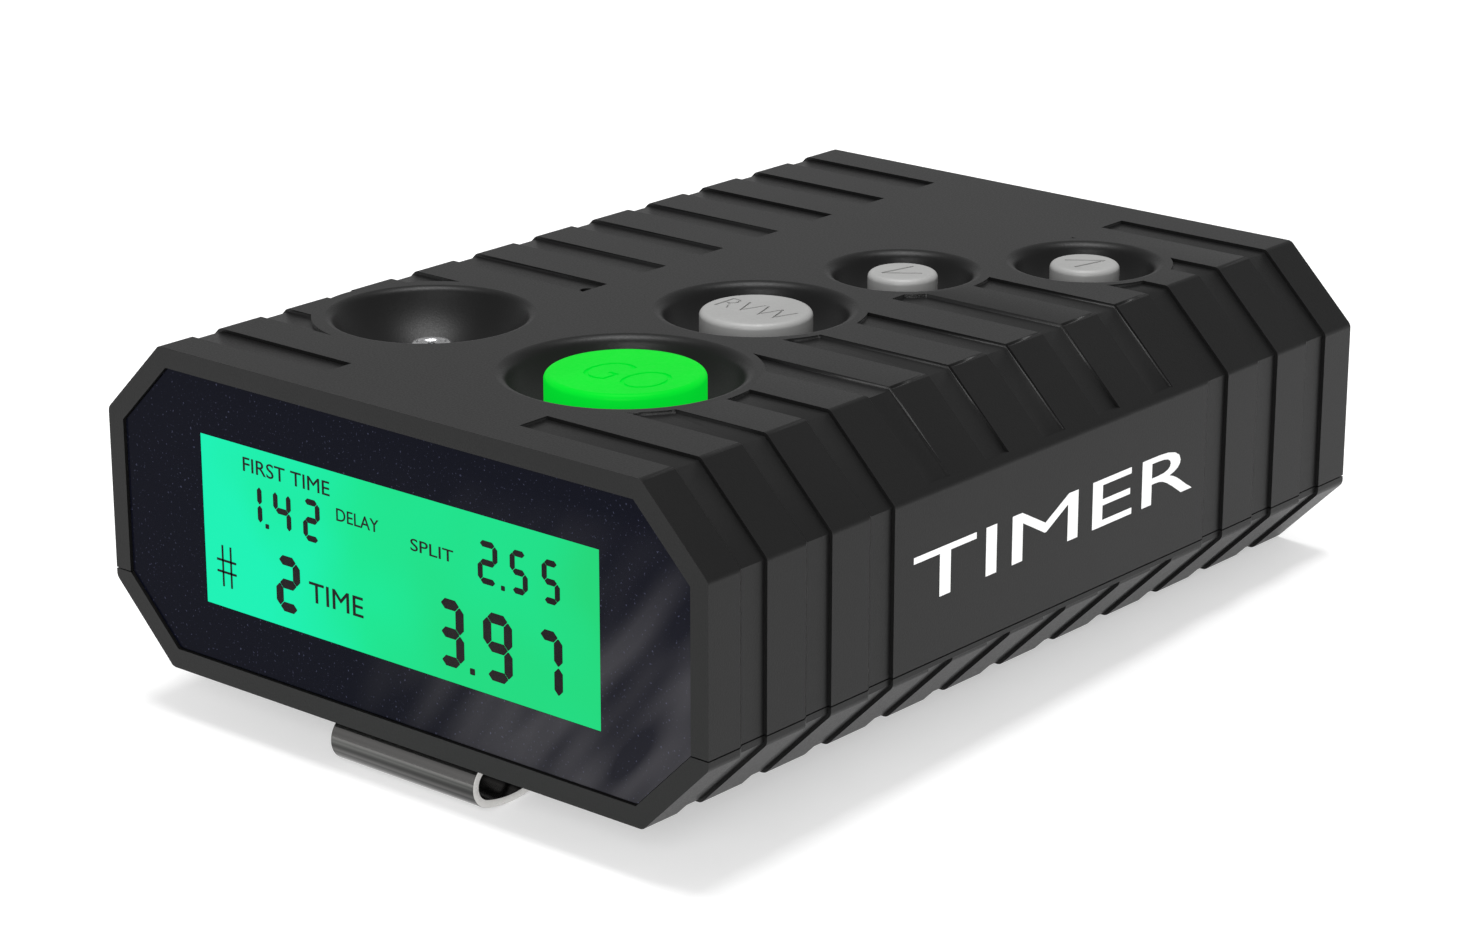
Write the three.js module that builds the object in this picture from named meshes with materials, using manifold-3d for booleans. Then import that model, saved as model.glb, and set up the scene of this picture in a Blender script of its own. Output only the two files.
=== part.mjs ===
// Shot timer: an octagonal belt-clip box with a display across its front end, four push
// buttons and a microphone bowl on top, a battery door at the rear and a spring clip below.
// Millimetres, +Z up, +Y from the display towards the rear. The pieces are drawn with the
// front face at y = 0 and the underside at z = 0, and one group moves them so that the
// origin is the middle of the rest plane under the clip.
import * as THREE from 'three';
import { mergeVertices } from 'three/addons/utils/BufferGeometryUtils.js';
import Module from 'manifold-3d';

const wasm = await Module();
wasm.setup();

// ---------------------------------------------------------------- driving sizes

const fitGap = 0.1;
const over = 1;
const seamGap = 0.12;
const roundSteps = 28;
const middleSteps = 20;
const smallSteps = 12;
const curveSteps = 4;
const bendStep = 15;

const body = { width: 75, length: 100, height: 32, chamfer: 7.5, wall: 2, front: 3.6, rear: 2.5 };
const lens = { border: 2, recess: 0.3, thickness: 1.5, tape: 0.3, ledge: 1.6 };
const band = { first: 7.7, pitch: 8.76, width: 3.6, depth: 0.35, rearMargin: 4, sideCount: 3 };
const bandEnds = { top: 12.25, under: 28, margin: 1.3, panelLow: 0.3, panelHigh: 0.6 };

const recess = { depth: 3.5, wall: 1.6, holeGap: 0.25, foot: 1.5, rib: 0.8, sink: 0.5 };
const cap = { proud: -0.1, round: 0.6, wall: 1.2, crown: 1.8, stem: 1.2, flange: 1.1, flangeHeight: 1.2 };
const dome = { height: 3.1, gap: 0.6, wall: 0.7, foot: 4.5, rim: 0.6, crown: 0.6 };
const buttons = [
  { name: 'go', x: 8.3, y: 22.4, rim: 11.5, radius: 7.5 },
  { name: 'review', x: 4.3, y: 45.7, rim: 9.4, radius: 5.5 },
  { name: 'previous', x: 6.7, y: 65.5, rim: 7.3, radius: 3.5 },
  { name: 'next', x: 18.55, y: 79.9, rim: 7.4, radius: 3.5 },
];

const bowl = { x: -18.2, y: 24.1, rim: 9.6, depth: 6, wall: 1.6, foot: 2.5, margin: 1.8 };
const microphone = { radius: 2, height: 5.9, proud: 3.2, boot: 0.9, lip: 1.3, lead: 0.25 };
const beeper = { x: -13.15, y: 40.7, radius: 6, height: 7.4, port: 0.65, ring: 4, ringHole: 2 };

const board = { thickness: 1.6, sideGap: 1.2, front: 12, rear: 6, postGap: 0.5 };
const boardPost = { inset: 5.5, radius: 2.6, front: 30, rear: 30 };
const boardScrew = { radius: 1, head: 1.9, headHeight: 1.2, grip: 3.5 };
const chip = { x: -20, y: 61, size: 10, height: 1.4 };
const crystal = { x: -10.4, y: 59.5, width: 3.2, length: 5, height: 1.3 };
const capacitor = { x: -20, y: 76, radius: 3.2, height: 5.8 };
const shellPost = { inset: 4, radius: 3.4, front: 14, rear: 11 };
const shellScrew = { radius: 1.2, head: 2.4, headHeight: 1.5, sink: 0.9, depth: 5.5 };
const insert = { radius: 2, length: 5 };
const lip = { thickness: 0.8, height: 1.5, root: 0.2, ends: 8 };

const glass = { width: 56.6, height: 21.6, thickness: 1.9 };
const backlight = { thickness: 3, height: 16.6 };
const displayFrame = { side: 1.5, top: 1.6 };
const displayBoard = { thickness: 1 };
const header = { x: -8, width: 18, height: 2.5, depth: 2.5, setback: 0.5, pins: 6, pin: 0.6 };
const zebra = { width: 50, height: 1.8 };

const battery = { width: 26.5, height: 17.5, length: 46.4, gap: 0.2, stud: 2.1, studSpan: 6.35 };
const batteryStuds = { positive: 2.9, negative: 4.2, ring: 1.2 };
const contactBlock = { thickness: 2.8 };
const bay = { wall: 1.2, gap: 0.4, height: 14 };
const door = { thickness: 2, lap: 0.4, sideGap: 0.3, topGap: 0.3, barrel: 1.3, notch: 5, notchDepth: 0.9 };
const doorPad = { thickness: 0.8, width: 16, height: 10 };
const doorPin = { radius: 0.6, gap: 0.1, overhang: 1.8 };

const clip = { width: 18.3, thickness: 0.75, bend: 2.25, setback: 0.5, seat: 0.05, margin: 1.2 };
const belly = { y: 5.4, drop: 4.93 };
const split = { turn: 9, gap: 0.3 };
const tongue = {
  rise: 11.4, riseRun: 6, easeRadius: 40, slope: 4.7, gripRun: 20, ridgeRadius: 8, flare: 12, flareRun: 5,
};
const clipScrew = {
  first: 14, second: 25, radius: 1.15, head: 2.3, length: 6, post: 3, cover: 1, access: 2.9,
};

// ---------------------------------------------------------------- derived places

const halfWidth = body.width / 2;
const sectionMiddle = body.height / 2;
const cornerShare = 2 - Math.SQRT2;
const partingHeight = lens.border + body.chamfer - lens.border * cornerShare;
const dishUnderside = body.height - recess.depth - recess.wall;
const flangeTop = dishUnderside - fitGap;
const flangeBottom = flangeTop - cap.flangeHeight;
const stemBottom = flangeBottom - dome.gap;
const boardTop = stemBottom - fitGap - dome.height;
const boardBottom = boardTop - board.thickness;
const lensBack = lens.recess + lens.thickness;
const ledgeFront = lensBack + lens.tape;
const glassFront = body.front + 2 * fitGap;
const glassBack = glassFront + glass.thickness;
const backlightBack = glassBack + fitGap + backlight.thickness;
const displayBoardFront = backlightBack + fitGap;
const displayBoardBack = displayBoardFront + displayBoard.thickness;
const padRear = body.length - door.thickness - fitGap / 2;
const batteryRear = padRear - doorPad.thickness - battery.gap;
const batteryFront = batteryRear - battery.length;
const studFront = batteryFront - battery.stud;
const batteryTop = body.wall + battery.gap + battery.height;
const clipTop = -clip.seat;
const bendCentre = { y: clip.setback + clip.bend, z: clipTop - clip.bend };
const clipBottom = -belly.drop;
const legEnd = clipScrew.second + clipScrew.head + clip.margin;
const doorAxis = { y: body.length - door.barrel, z: door.barrel };
const shellPostX = halfWidth - body.chamfer - shellPost.inset;
const boardPostX = halfWidth - body.wall - boardPost.inset;
const boardRear = body.length - board.rear;
const doorHalf = battery.width / 2 + bay.gap + bay.wall;
const doorTop = boardBottom + door.lap;

// ---------------------------------------------------------------- shape helpers

// A closed three.js geometry as a manifold solid: shared corners are merged and the
// zero-area triangles at a lathe's poles are dropped.
function solid(geometry) {
  const bare = geometry.clone();
  bare.deleteAttribute('normal');
  bare.deleteAttribute('uv');
  const merged = mergeVertices(bare);
  const index = merged.index.array;
  const triangles = [];
  for (let i = 0; i < index.length; i += 3) {
    const [a, b, c] = [index[i], index[i + 1], index[i + 2]];
    if (a !== b && b !== c && c !== a) triangles.push(a, b, c);
  }
  return new wasm.Manifold(new wasm.Mesh({
    numProp: 3,
    vertProperties: new Float32Array(merged.attributes.position.array),
    triVerts: new Uint32Array(triangles),
  }));
}

function join(pieces) {
  return pieces.reduce((whole, piece) => whole.add(piece));
}

function cut(whole, tools) {
  return tools.reduce((rest, tool) => rest.subtract(tool), whole);
}

function block(x0, x1, y0, y1, z0, z1) {
  const geometry = new THREE.BoxGeometry(x1 - x0, y1 - y0, z1 - z0);
  geometry.translate((x0 + x1) / 2, (y0 + y1) / 2, (z0 + z1) / 2);
  return solid(geometry);
}

function extrude(outline, depth) {
  const shape = new THREE.Shape(outline.map(([u, v]) => new THREE.Vector2(u, v)));
  return new THREE.ExtrudeGeometry(shape, { depth, bevelEnabled: false });
}

// An outline in x and z, run along y.
function alongY(outline, y0, y1) {
  const geometry = extrude(outline, y1 - y0);
  geometry.rotateX(Math.PI / 2);
  geometry.translate(0, y1, 0);
  return solid(geometry);
}

// An outline in y and z, run along x.
function alongX(outline, x0, x1) {
  const geometry = extrude(outline, x1 - x0);
  const turn = new THREE.Matrix4();
  turn.makeBasis(new THREE.Vector3(0, 1, 0), new THREE.Vector3(0, 0, 1), new THREE.Vector3(1, 0, 0));
  geometry.applyMatrix4(turn);
  geometry.translate(x0, 0, 0);
  return solid(geometry);
}

// A profile of [radius, height] pairs, from the bottom of the axis to its top, turned
// about a vertical axis through x, y.
function turned(profile, x, y, steps = roundSteps) {
  const points = profile.map(([radius, height]) => new THREE.Vector2(radius, height));
  const geometry = new THREE.LatheGeometry(points, steps);
  geometry.rotateX(Math.PI / 2);
  geometry.translate(x, y, 0);
  return solid(geometry);
}

function rod(radius, z0, z1, x, y, steps = smallSteps) {
  return turned([[0, z0], [radius, z0], [radius, z1], [0, z1]], x, y, steps);
}

function rodAlong(axis, radius, from, to, a, b, steps = smallSteps) {
  const geometry = new THREE.CylinderGeometry(radius, radius, to - from, steps);
  if (axis === 'x') {
    geometry.rotateZ(-Math.PI / 2);
    geometry.translate((from + to) / 2, a, b);
  } else {
    geometry.translate(a, (from + to) / 2, b);
  }
  return solid(geometry);
}

// The body's eight-sided section, drawn in by an even distance.
function octagon(inset) {
  const side = halfWidth - inset;
  const low = inset;
  const high = body.height - inset;
  const corner = body.chamfer - inset * cornerShare;
  return [
    [side - corner, low], [side, low + corner], [side, high - corner], [side - corner, high],
    [corner - side, high], [-side, high - corner], [-side, low + corner], [corner - side, low],
  ];
}

function arc(centreU, centreV, radius, fromDegrees, toDegrees, steps) {
  return Array.from({ length: steps + 1 }, (_, i) => {
    const angle = THREE.MathUtils.degToRad(fromDegrees + (toDegrees - fromDegrees) * i / steps);
    return [centreU + radius * Math.cos(angle), centreV + radius * Math.sin(angle)];
  });
}

const finishes = {
  casing: { color: 0x2b2b2b, roughness: 0.62, metalness: 0 },
  lens: { color: 0x1d1f29, roughness: 0.12, metalness: 0 },
  go: { color: 0x06df30, roughness: 0.4, metalness: 0 },
  key: { color: 0xb4b4b3, roughness: 0.45, metalness: 0 },
  silicone: { color: 0x8d9092, roughness: 0.8, metalness: 0 },
  foam: { color: 0x1a1a1b, roughness: 0.95, metalness: 0 },
  lcd: { color: 0x1fdc8c, roughness: 0.2, metalness: 0 },
  diffuser: { color: 0xe9efe9, roughness: 0.4, metalness: 0 },
  board: { color: 0x16572f, roughness: 0.5, metalness: 0 },
  chip: { color: 0x18181a, roughness: 0.5, metalness: 0 },
  steel: { color: 0xb9b9b8, roughness: 0.22, metalness: 1 },
  brass: { color: 0xb08d4a, roughness: 0.35, metalness: 1 },
  battery: { color: 0x2f3338, roughness: 0.35, metalness: 0.3 },
};

const timer = new THREE.Group();
timer.position.set(0, -body.length / 2, -clipBottom);

function piece(name, whole, finish) {
  const { vertProperties, triVerts } = whole.getMesh();
  const geometry = new THREE.BufferGeometry();
  geometry.setAttribute('position', new THREE.BufferAttribute(vertProperties, 3));
  geometry.setIndex(new THREE.BufferAttribute(triVerts, 1));
  geometry.computeVertexNormals();
  const look = new THREE.MeshStandardMaterial({ ...finishes[finish], flatShading: true });
  const mesh = new THREE.Mesh(geometry, look);
  mesh.name = name;
  timer.add(mesh);
}

// ---------------------------------------------------------------- the two shells

// Shallow grip bands run round the long edges. They leave the middle of the top and the
// underside plain, stop short of every recess, and leave a plain panel on each side.
function gripBands() {
  const count = Math.floor((body.length - band.first - band.rearMargin) / band.pitch) + 1;
  const ring = (y) => cut(
    alongY(octagon(-over), y - band.width, y),
    [alongY(octagon(band.depth), y - band.width - over, y + over)],
  );
  const bands = join(Array.from({ length: count }, (_, i) => ring(band.first + band.pitch * i)));
  const panelFront = band.first + band.pitch * band.sideCount - band.width - over;
  const panelRear = band.first + band.pitch * (count - 1 - band.sideCount) + over;
  const panelLow = body.chamfer + bandEnds.panelLow;
  const panelHigh = body.height - body.chamfer + bandEnds.panelHigh;
  const above = body.height + over;
  const bowlClear = bowl.rim + bowl.margin;
  const plain = [
    block(-bandEnds.top, bandEnds.top, -over, body.length + over, sectionMiddle, above),
    block(-bandEnds.under, bandEnds.under, -over, body.length + over, -over, sectionMiddle),
    block(halfWidth - body.chamfer, halfWidth + over, panelFront, panelRear, panelLow, panelHigh),
    block(-halfWidth - over, body.chamfer - halfWidth, panelFront, panelRear, panelLow, panelHigh),
    rod(bowlClear, sectionMiddle, above, bowl.x, bowl.y, roundSteps),
    block(bowl.x, 0, bowl.y - bowlClear, bowl.y + bowlClear, sectionMiddle, above),
  ];
  for (const { x, y, rim } of buttons) {
    plain.push(rod(rim + bandEnds.margin, sectionMiddle, above, x, y, roundSteps));
  }
  return cut(bands, plain);
}

function casing() {
  const outside = alongY(octagon(0), 0, body.length);
  const inside = alongY(octagon(body.wall), body.front, body.length - body.rear);
  const window = alongY(octagon(lens.border), -over, ledgeFront);
  const ledge = alongY(octagon(lens.border + lens.ledge), -over, body.front + over);
  return cut(outside, [inside, window, ledge, gripBands()]);
}

// The rear opening for the battery, with room below it for the door's hinge barrel.
function doorOpening() {
  const half = doorHalf + door.sideGap;
  const front = doorAxis.y - door.barrel - door.sideGap;
  return block(-half, half, front, body.length + over, -over, doorTop + door.topGap);
}

// A dished recess: a quarter ellipse from the rim down to the edge of the key's hole.
function recessTool({ x, y, rim, radius }) {
  const hole = radius + recess.holeGap;
  const floor = body.height - recess.depth;
  const curve = Array.from({ length: curveSteps + 1 }, (_, i) => {
    const angle = Math.PI / 2 * i / curveSteps;
    return [hole + (rim - hole) * Math.sin(angle), body.height - recess.depth * Math.cos(angle)];
  });
  const low = floor - recess.wall - over;
  return turned([[0, low], [hole, low], ...curve, [rim, body.height + over], [0, body.height + over]], x, y);
}

function recessDish({ x, y, rim, radius }) {
  const foot = radius + cap.flange + recess.foot;
  return turned([[0, dishUnderside], [foot, dishUnderside], [rim + recess.rib, dishShoulder],
    [rim + recess.rib, boneTop], [0, boneTop]], x, y);
}

const dishShoulder = body.height - body.wall - recess.sink;
const boneTop = body.height - body.wall / 2;
const bowlSphere = (bowl.rim ** 2 + bowl.depth ** 2) / (2 * bowl.depth);
const bowlFloor = body.height - bowl.depth;
const bowlUnderside = bowlFloor - bowl.wall;
const bootHole = microphone.radius + microphone.boot + fitGap;

function bowlTool() {
  const centre = body.height + bowlSphere - bowl.depth;
  const rimAngle = THREE.MathUtils.radToDeg(Math.atan2(body.height - centre, bowl.rim));
  const curve = arc(0, centre, bowlSphere, -90, rimAngle, curveSteps + 2);
  curve[0] = [0, bowlFloor];
  return turned([...curve, [bowl.rim, body.height + over], [0, body.height + over]], bowl.x, bowl.y);
}

function bowlDish() {
  return turned([[0, bowlUnderside], [bootHole + bowl.foot, bowlUnderside],
    [bowl.rim + recess.rib, dishShoulder], [bowl.rim + recess.rib, boneTop], [0, boneTop]],
  bowl.x, bowl.y);
}

const fourPosts = (x, front, rear) => [[-x, front], [x, front], [-x, rear], [x, rear]];
const shellPosts = fourPosts(shellPostX, shellPost.front, body.length - shellPost.rear);
const boardPosts = fourPosts(boardPostX, boardPost.front, body.length - boardPost.rear);

function upperShell(whole) {
  const seam = partingHeight + seamGap / 2;
  const inside = alongY(octagon(fitGap), 0, body.length);
  const keep = block(-halfWidth, halfWidth, 0, body.length, seam, body.height);
  const dishes = [...buttons.map(recessDish), bowlDish()];
  const posts = shellPosts.map(([x, y]) => rod(shellPost.radius, seam, boneTop, x, y));
  const stands = boardPosts.map(([x, y]) => rod(boardPost.radius, boardTop, boneTop, x, y));
  const bones = join([...dishes, ...posts, ...stands]).intersect(inside);
  const tools = [...buttons.map(recessTool), bowlTool()];
  tools.push(rod(bootHole, bowlUnderside - over, body.height, bowl.x, bowl.y, roundSteps));
  tools.push(rod(beeper.port, body.height - body.wall - over, body.height + over, beeper.x, beeper.y));
  for (const [x, y] of shellPosts) {
    tools.push(rod(insert.radius + fitGap / 2, 0, seam + insert.length + fitGap, x, y));
    tools.push(rod(shellScrew.radius + fitGap, 0, seam + shellScrew.depth + over, x, y));
  }
  for (const [x, y] of boardPosts) {
    tools.push(rod(boardScrew.radius + fitGap / 2, boardTop - over, boardTop + boardScrew.grip + over, x, y));
  }
  for (const side of [-1, 1]) {
    const outer = halfWidth - body.wall + lip.thickness + fitGap;
    const inner = halfWidth - body.wall - over;
    const [x0, x1] = [side * inner, side * outer].sort((a, b) => a - b);
    tools.push(block(x0, x1, lip.ends - fitGap, body.length - lip.ends + fitGap,
      seam - over, partingHeight + lip.height + fitGap));
  }
  tools.push(doorOpening());
  return cut(whole.intersect(keep).add(bones.intersect(keep)), tools);
}

function lowerShell(whole) {
  const seam = partingHeight - seamGap / 2;
  const keep = block(-halfWidth, halfWidth, 0, body.length, 0, seam);
  const posts = shellPosts.map(([x, y]) => rod(shellPost.radius, body.wall / 2, seam, x, y));
  const clipPosts = [clipScrew.first, clipScrew.second].map((y) => (
    rod(clipScrew.post, body.wall / 2, clipScrew.length + clipScrew.cover, 0, y)));
  const bayFront = studFront - contactBlock.thickness;
  const walls = [-1, 1].map((side) => {
    const near = battery.width / 2 + bay.gap;
    const [x0, x1] = [side * near, side * (near + bay.wall)].sort((a, b) => a - b);
    return block(x0, x1, bayFront, body.length - body.rear - over, body.wall / 2, body.wall + bay.height);
  });
  const lips = [-1, 1].map((side) => {
    const inner = halfWidth - body.wall;
    const [x0, x1] = [side * inner, side * (inner + lip.thickness)].sort((a, b) => a - b);
    const low = body.chamfer - body.wall + lip.thickness + lip.root;
    return block(x0, x1, lip.ends, body.length - lip.ends, low, partingHeight + lip.height);
  });
  const tools = [doorOpening()];
  for (const [x, y] of shellPosts) {
    tools.push(rod(shellScrew.head + fitGap * 2, -over, shellScrew.sink + shellScrew.headHeight, x, y));
    tools.push(rod(shellScrew.radius + fitGap * 2, -over, seam + over, x, y));
  }
  for (const y of [clipScrew.first, clipScrew.second]) {
    tools.push(rod(clipScrew.radius + fitGap, -over, clipScrew.length, 0, y));
  }
  const pinHole = doorPin.radius + doorPin.gap;
  const pinEnd = doorHalf + door.sideGap + doorPin.overhang + fitGap;
  tools.push(rodAlong('x', pinHole, -pinEnd, pinEnd, doorAxis.y, doorAxis.z));
  return cut(join([whole.intersect(keep), ...posts, ...clipPosts, ...walls, ...lips]), tools);
}

const blank = casing();
piece('upper_shell', upperShell(blank), 'casing');
piece('lower_shell', lowerShell(blank), 'casing');

shellPosts.forEach(([x, y], i) => {
  const headTop = shellScrew.sink + shellScrew.headHeight - fitGap;
  const tip = partingHeight + shellScrew.depth;
  const hold = partingHeight + seamGap / 2;
  const screw = turned([[0, shellScrew.sink], [shellScrew.head, shellScrew.sink],
    [shellScrew.head, headTop], [shellScrew.radius, headTop], [shellScrew.radius, tip], [0, tip]],
  x, y, smallSteps);
  piece(`shell_screw_${i + 1}`, screw, 'steel');
  const sleeve = cut(rod(insert.radius, hold, hold + insert.length, x, y), [
    rod(shellScrew.radius + fitGap, hold - over, hold + insert.length + over, x, y)]);
  piece(`shell_insert_${i + 1}`, sleeve, 'brass');
});

// ---------------------------------------------------------------- the display

const lensOutline = octagon(lens.border + fitGap);
piece('display_lens', alongY(lensOutline, lens.recess, lensBack), 'lens');
piece('lens_tape', cut(alongY(lensOutline, lensBack, ledgeFront), [
  alongY(octagon(lens.border + lens.ledge), lensBack - over, ledgeFront + over)]), 'foam');

const glassHalf = glass.width / 2;
const glassLow = sectionMiddle - glass.height / 2;
const glassHigh = sectionMiddle + glass.height / 2;
const lightLow = sectionMiddle - backlight.height / 2;
const lightHigh = sectionMiddle + backlight.height / 2;
piece('lcd_glass', block(-glassHalf, glassHalf, glassFront, glassBack, glassLow, glassHigh), 'lcd');
piece('backlight_panel', block(-glassHalf, glassHalf, glassBack + fitGap, backlightBack,
  lightLow, lightHigh), 'diffuser');
const frameIn = { x: glassHalf + fitGap, z: glass.height / 2 + fitGap };
const frameOut = { x: frameIn.x + displayFrame.side, z: frameIn.z + displayFrame.top };
piece('display_frame', cut(
  block(-frameOut.x, frameOut.x, glassFront, backlightBack, sectionMiddle - frameOut.z,
    sectionMiddle + frameOut.z),
  [block(-frameIn.x, frameIn.x, glassFront - over, backlightBack + over, sectionMiddle - frameIn.z,
    sectionMiddle + frameIn.z)],
), 'chip');
piece('display_board', block(-frameOut.x, frameOut.x, displayBoardFront, displayBoardBack,
  sectionMiddle - frameOut.z, sectionMiddle + frameOut.z), 'board');
const zebraFront = glassBack + fitGap;
piece('contact_strip_upper', block(-zebra.width / 2, zebra.width / 2, zebraFront, backlightBack,
  lightHigh + fitGap, lightHigh + fitGap + zebra.height), 'silicone');
piece('contact_strip_lower', block(-zebra.width / 2, zebra.width / 2, zebraFront, backlightBack,
  lightLow - fitGap - zebra.height, lightLow - fitGap), 'silicone');

// ---------------------------------------------------------------- the main board

function mainBoard() {
  const half = halfWidth - body.wall - board.sideGap;
  const plate = block(-half, half, board.front, boardRear, boardBottom, boardTop);
  const holes = boardPosts.map(([x, y]) => rod(boardScrew.radius + fitGap, boardBottom - over,
    boardTop + over, x, y));
  const notches = shellPosts.map(([x, y]) => rod(shellPost.radius + board.postGap, boardBottom - over,
    boardTop + over, x, y, roundSteps));
  const corners = shellPosts.map(([x, y]) => {
    const towardsEnd = y < body.length / 2 ? [board.front - over, y] : [y, boardRear + over];
    const reach = shellPost.radius + board.postGap;
    return block(x - reach, x + reach, ...towardsEnd, boardBottom - over, boardTop + over);
  });
  return cut(plate, [...holes, ...notches, ...corners]);
}
piece('main_board', mainBoard(), 'board');

boardPosts.forEach(([x, y], i) => {
  const headTop = boardBottom - fitGap;
  const headBottom = headTop - boardScrew.headHeight;
  piece(`board_screw_${i + 1}`, turned([[0, headBottom], [boardScrew.head, headBottom],
    [boardScrew.head, headTop], [boardScrew.radius, headTop],
    [boardScrew.radius, boardTop + boardScrew.grip], [0, boardTop + boardScrew.grip]],
  x, y, smallSteps), 'steel');
});

function pinHeader() {
  const [x0, x1] = [header.x - header.width / 2, header.x + header.width / 2];
  const front = board.front + header.setback;
  const low = boardTop + fitGap;
  const strip = block(x0, x1, front, front + header.depth, low, low + header.height);
  const pitch = header.width / header.pins;
  const pinZ = low + header.height / 2;
  const pins = Array.from({ length: header.pins }, (_, i) => {
    const x = x0 + pitch * (i + 0.5);
    return block(x - header.pin / 2, x + header.pin / 2, displayBoardBack + fitGap, front + over,
      pinZ - header.pin / 2, pinZ + header.pin / 2);
  });
  return join([strip, ...pins]);
}
piece('display_header', pinHeader(), 'chip');

const onBoard = boardTop + fitGap;
const onBoardBlock = ({ x, y, height }, width, length) => block(x - width / 2, x + width / 2,
  y - length / 2, y + length / 2, onBoard, onBoard + height);
piece('controller_chip', onBoardBlock(chip, chip.size, chip.size), 'chip');
piece('crystal', onBoardBlock(crystal, crystal.width, crystal.length), 'steel');
piece('storage_capacitor', rod(capacitor.radius, onBoard, onBoard + capacitor.height,
  capacitor.x, capacitor.y, roundSteps), 'chip');

// ---------------------------------------------------------------- keys and sound

for (const { name, x, y, radius } of buttons) {
  const top = body.height + cap.proud;
  const ceiling = top - cap.crown;
  const steps = radius > dome.foot ? roundSteps : middleSteps;
  const round = arc(radius - cap.round, top - cap.round, cap.round, 0, 90, 2);
  const shell = radius - cap.wall;
  const profile = [[0, stemBottom], [cap.stem, stemBottom], [cap.stem, ceiling], [shell, ceiling],
    [shell, flangeBottom], [radius + cap.flange, flangeBottom], [radius + cap.flange, flangeTop],
    [radius, flangeTop], ...round, [0, top]];
  piece(`${name}_button`, turned(profile, x, y, steps), name === 'go' ? 'go' : 'key');
  const foot = Math.min(radius, dome.foot);
  const crown = cap.stem + dome.crown;
  const low = boardTop + fitGap;
  const high = boardTop + dome.height;
  piece(`${name}_dome`, turned([[0, high - dome.wall], [crown - dome.wall / 2, high - dome.wall],
    [foot - dome.wall, low + dome.rim], [foot - dome.wall, low], [foot, low], [foot, low + dome.wall],
    [crown, high], [0, high]], x, y, middleSteps), 'silicone');
}

const micTop = bowlFloor + microphone.proud;
const micBottom = micTop - microphone.height;
const leads = [-1, 1].map((side) => rod(microphone.lead, onBoard, micBottom + microphone.proud,
  bowl.x + side * microphone.radius / 2, bowl.y));
const capsule = rod(microphone.radius, micBottom, micTop, bowl.x, bowl.y, middleSteps);
piece('microphone', join([capsule, ...leads]), 'steel');
const bootOut = microphone.radius + microphone.boot;
const bootIn = microphone.radius + fitGap / 2;
const bootStep = bowlUnderside - fitGap;
piece('microphone_boot', cut(turned([[0, micBottom], [bootOut + microphone.lip, micBottom],
  [bootOut + microphone.lip, bootStep], [bootOut, bootStep], [bootOut, bowlFloor], [0, bowlFloor]],
bowl.x, bowl.y, middleSteps), [
  rod(bootIn, micBottom - over, bowlFloor + over, bowl.x, bowl.y, middleSteps)]), 'foam');

const beeperTop = onBoard + beeper.height;
const beeperRing = body.height - body.wall - fitGap / 2;
piece('beeper', cut(rod(beeper.radius, onBoard, beeperTop, beeper.x, beeper.y, roundSteps), [
  rod(beeper.ringHole / 2, beeperTop - beeper.ringHole, beeperTop + over, beeper.x, beeper.y)]), 'chip');
piece('beeper_ring', cut(rod(beeper.ring, beeperTop + fitGap / 2, beeperRing, beeper.x, beeper.y,
  roundSteps), [
  rod(beeper.ringHole, beeperTop - over, beeperRing + over, beeper.x, beeper.y)]), 'foam');

// ---------------------------------------------------------------- battery and its door

const batteryMiddle = body.wall + battery.gap + battery.height / 2;
const studs = [['positive', -1], ['negative', 1]].map(([pole, side]) => (
  { pole, x: side * battery.studSpan, radius: batteryStuds[pole] }));
const cell = block(-battery.width / 2, battery.width / 2, batteryFront, batteryRear,
  body.wall + battery.gap, batteryTop);
piece('battery', join([cell, ...studs.map(({ x, radius }) => (
  rodAlong('y', radius, studFront, batteryFront + over, x, batteryMiddle)))]), 'battery');
for (const { pole, x, radius } of studs) {
  const ring = cut(
    rodAlong('y', radius + fitGap + batteryStuds.ring, studFront, batteryFront - fitGap, x, batteryMiddle),
    [rodAlong('y', radius + fitGap, studFront - over, batteryFront + over, x, batteryMiddle)],
  );
  piece(`battery_contact_${pole}`, ring, 'steel');
}
piece('battery_contact_block', block(-battery.width / 2, battery.width / 2,
  studFront - contactBlock.thickness, studFront - fitGap, body.wall + fitGap,
  boardBottom - fitGap), 'chip');

function batteryDoor() {
  const inner = body.length - door.thickness;
  const plate = block(-doorHalf, doorHalf, inner, body.length, door.barrel, doorTop);
  const barrel = rodAlong('x', door.barrel, -doorHalf, doorHalf, doorAxis.y, doorAxis.z, middleSteps);
  const notch = rodAlong('y', door.notch, body.length - door.notchDepth, body.length + over, 0,
    doorTop, roundSteps);
  const bore = rodAlong('x', doorPin.radius + doorPin.gap, -doorHalf - over, doorHalf + over, doorAxis.y,
    doorAxis.z);
  return cut(join([plate, barrel]), [notch, bore]);
}
piece('battery_door', batteryDoor(), 'casing');
const pinHalf = doorHalf + door.sideGap + doorPin.overhang;
piece('door_hinge_pin', rodAlong('x', doorPin.radius, -pinHalf, pinHalf, doorAxis.y, doorAxis.z),
  'steel');
piece('door_pad', block(-doorPad.width / 2, doorPad.width / 2, padRear - doorPad.thickness, padRear,
  batteryMiddle - doorPad.height / 2, batteryMiddle + doorPad.height / 2), 'foam');

// ---------------------------------------------------------------- the belt clip

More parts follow.
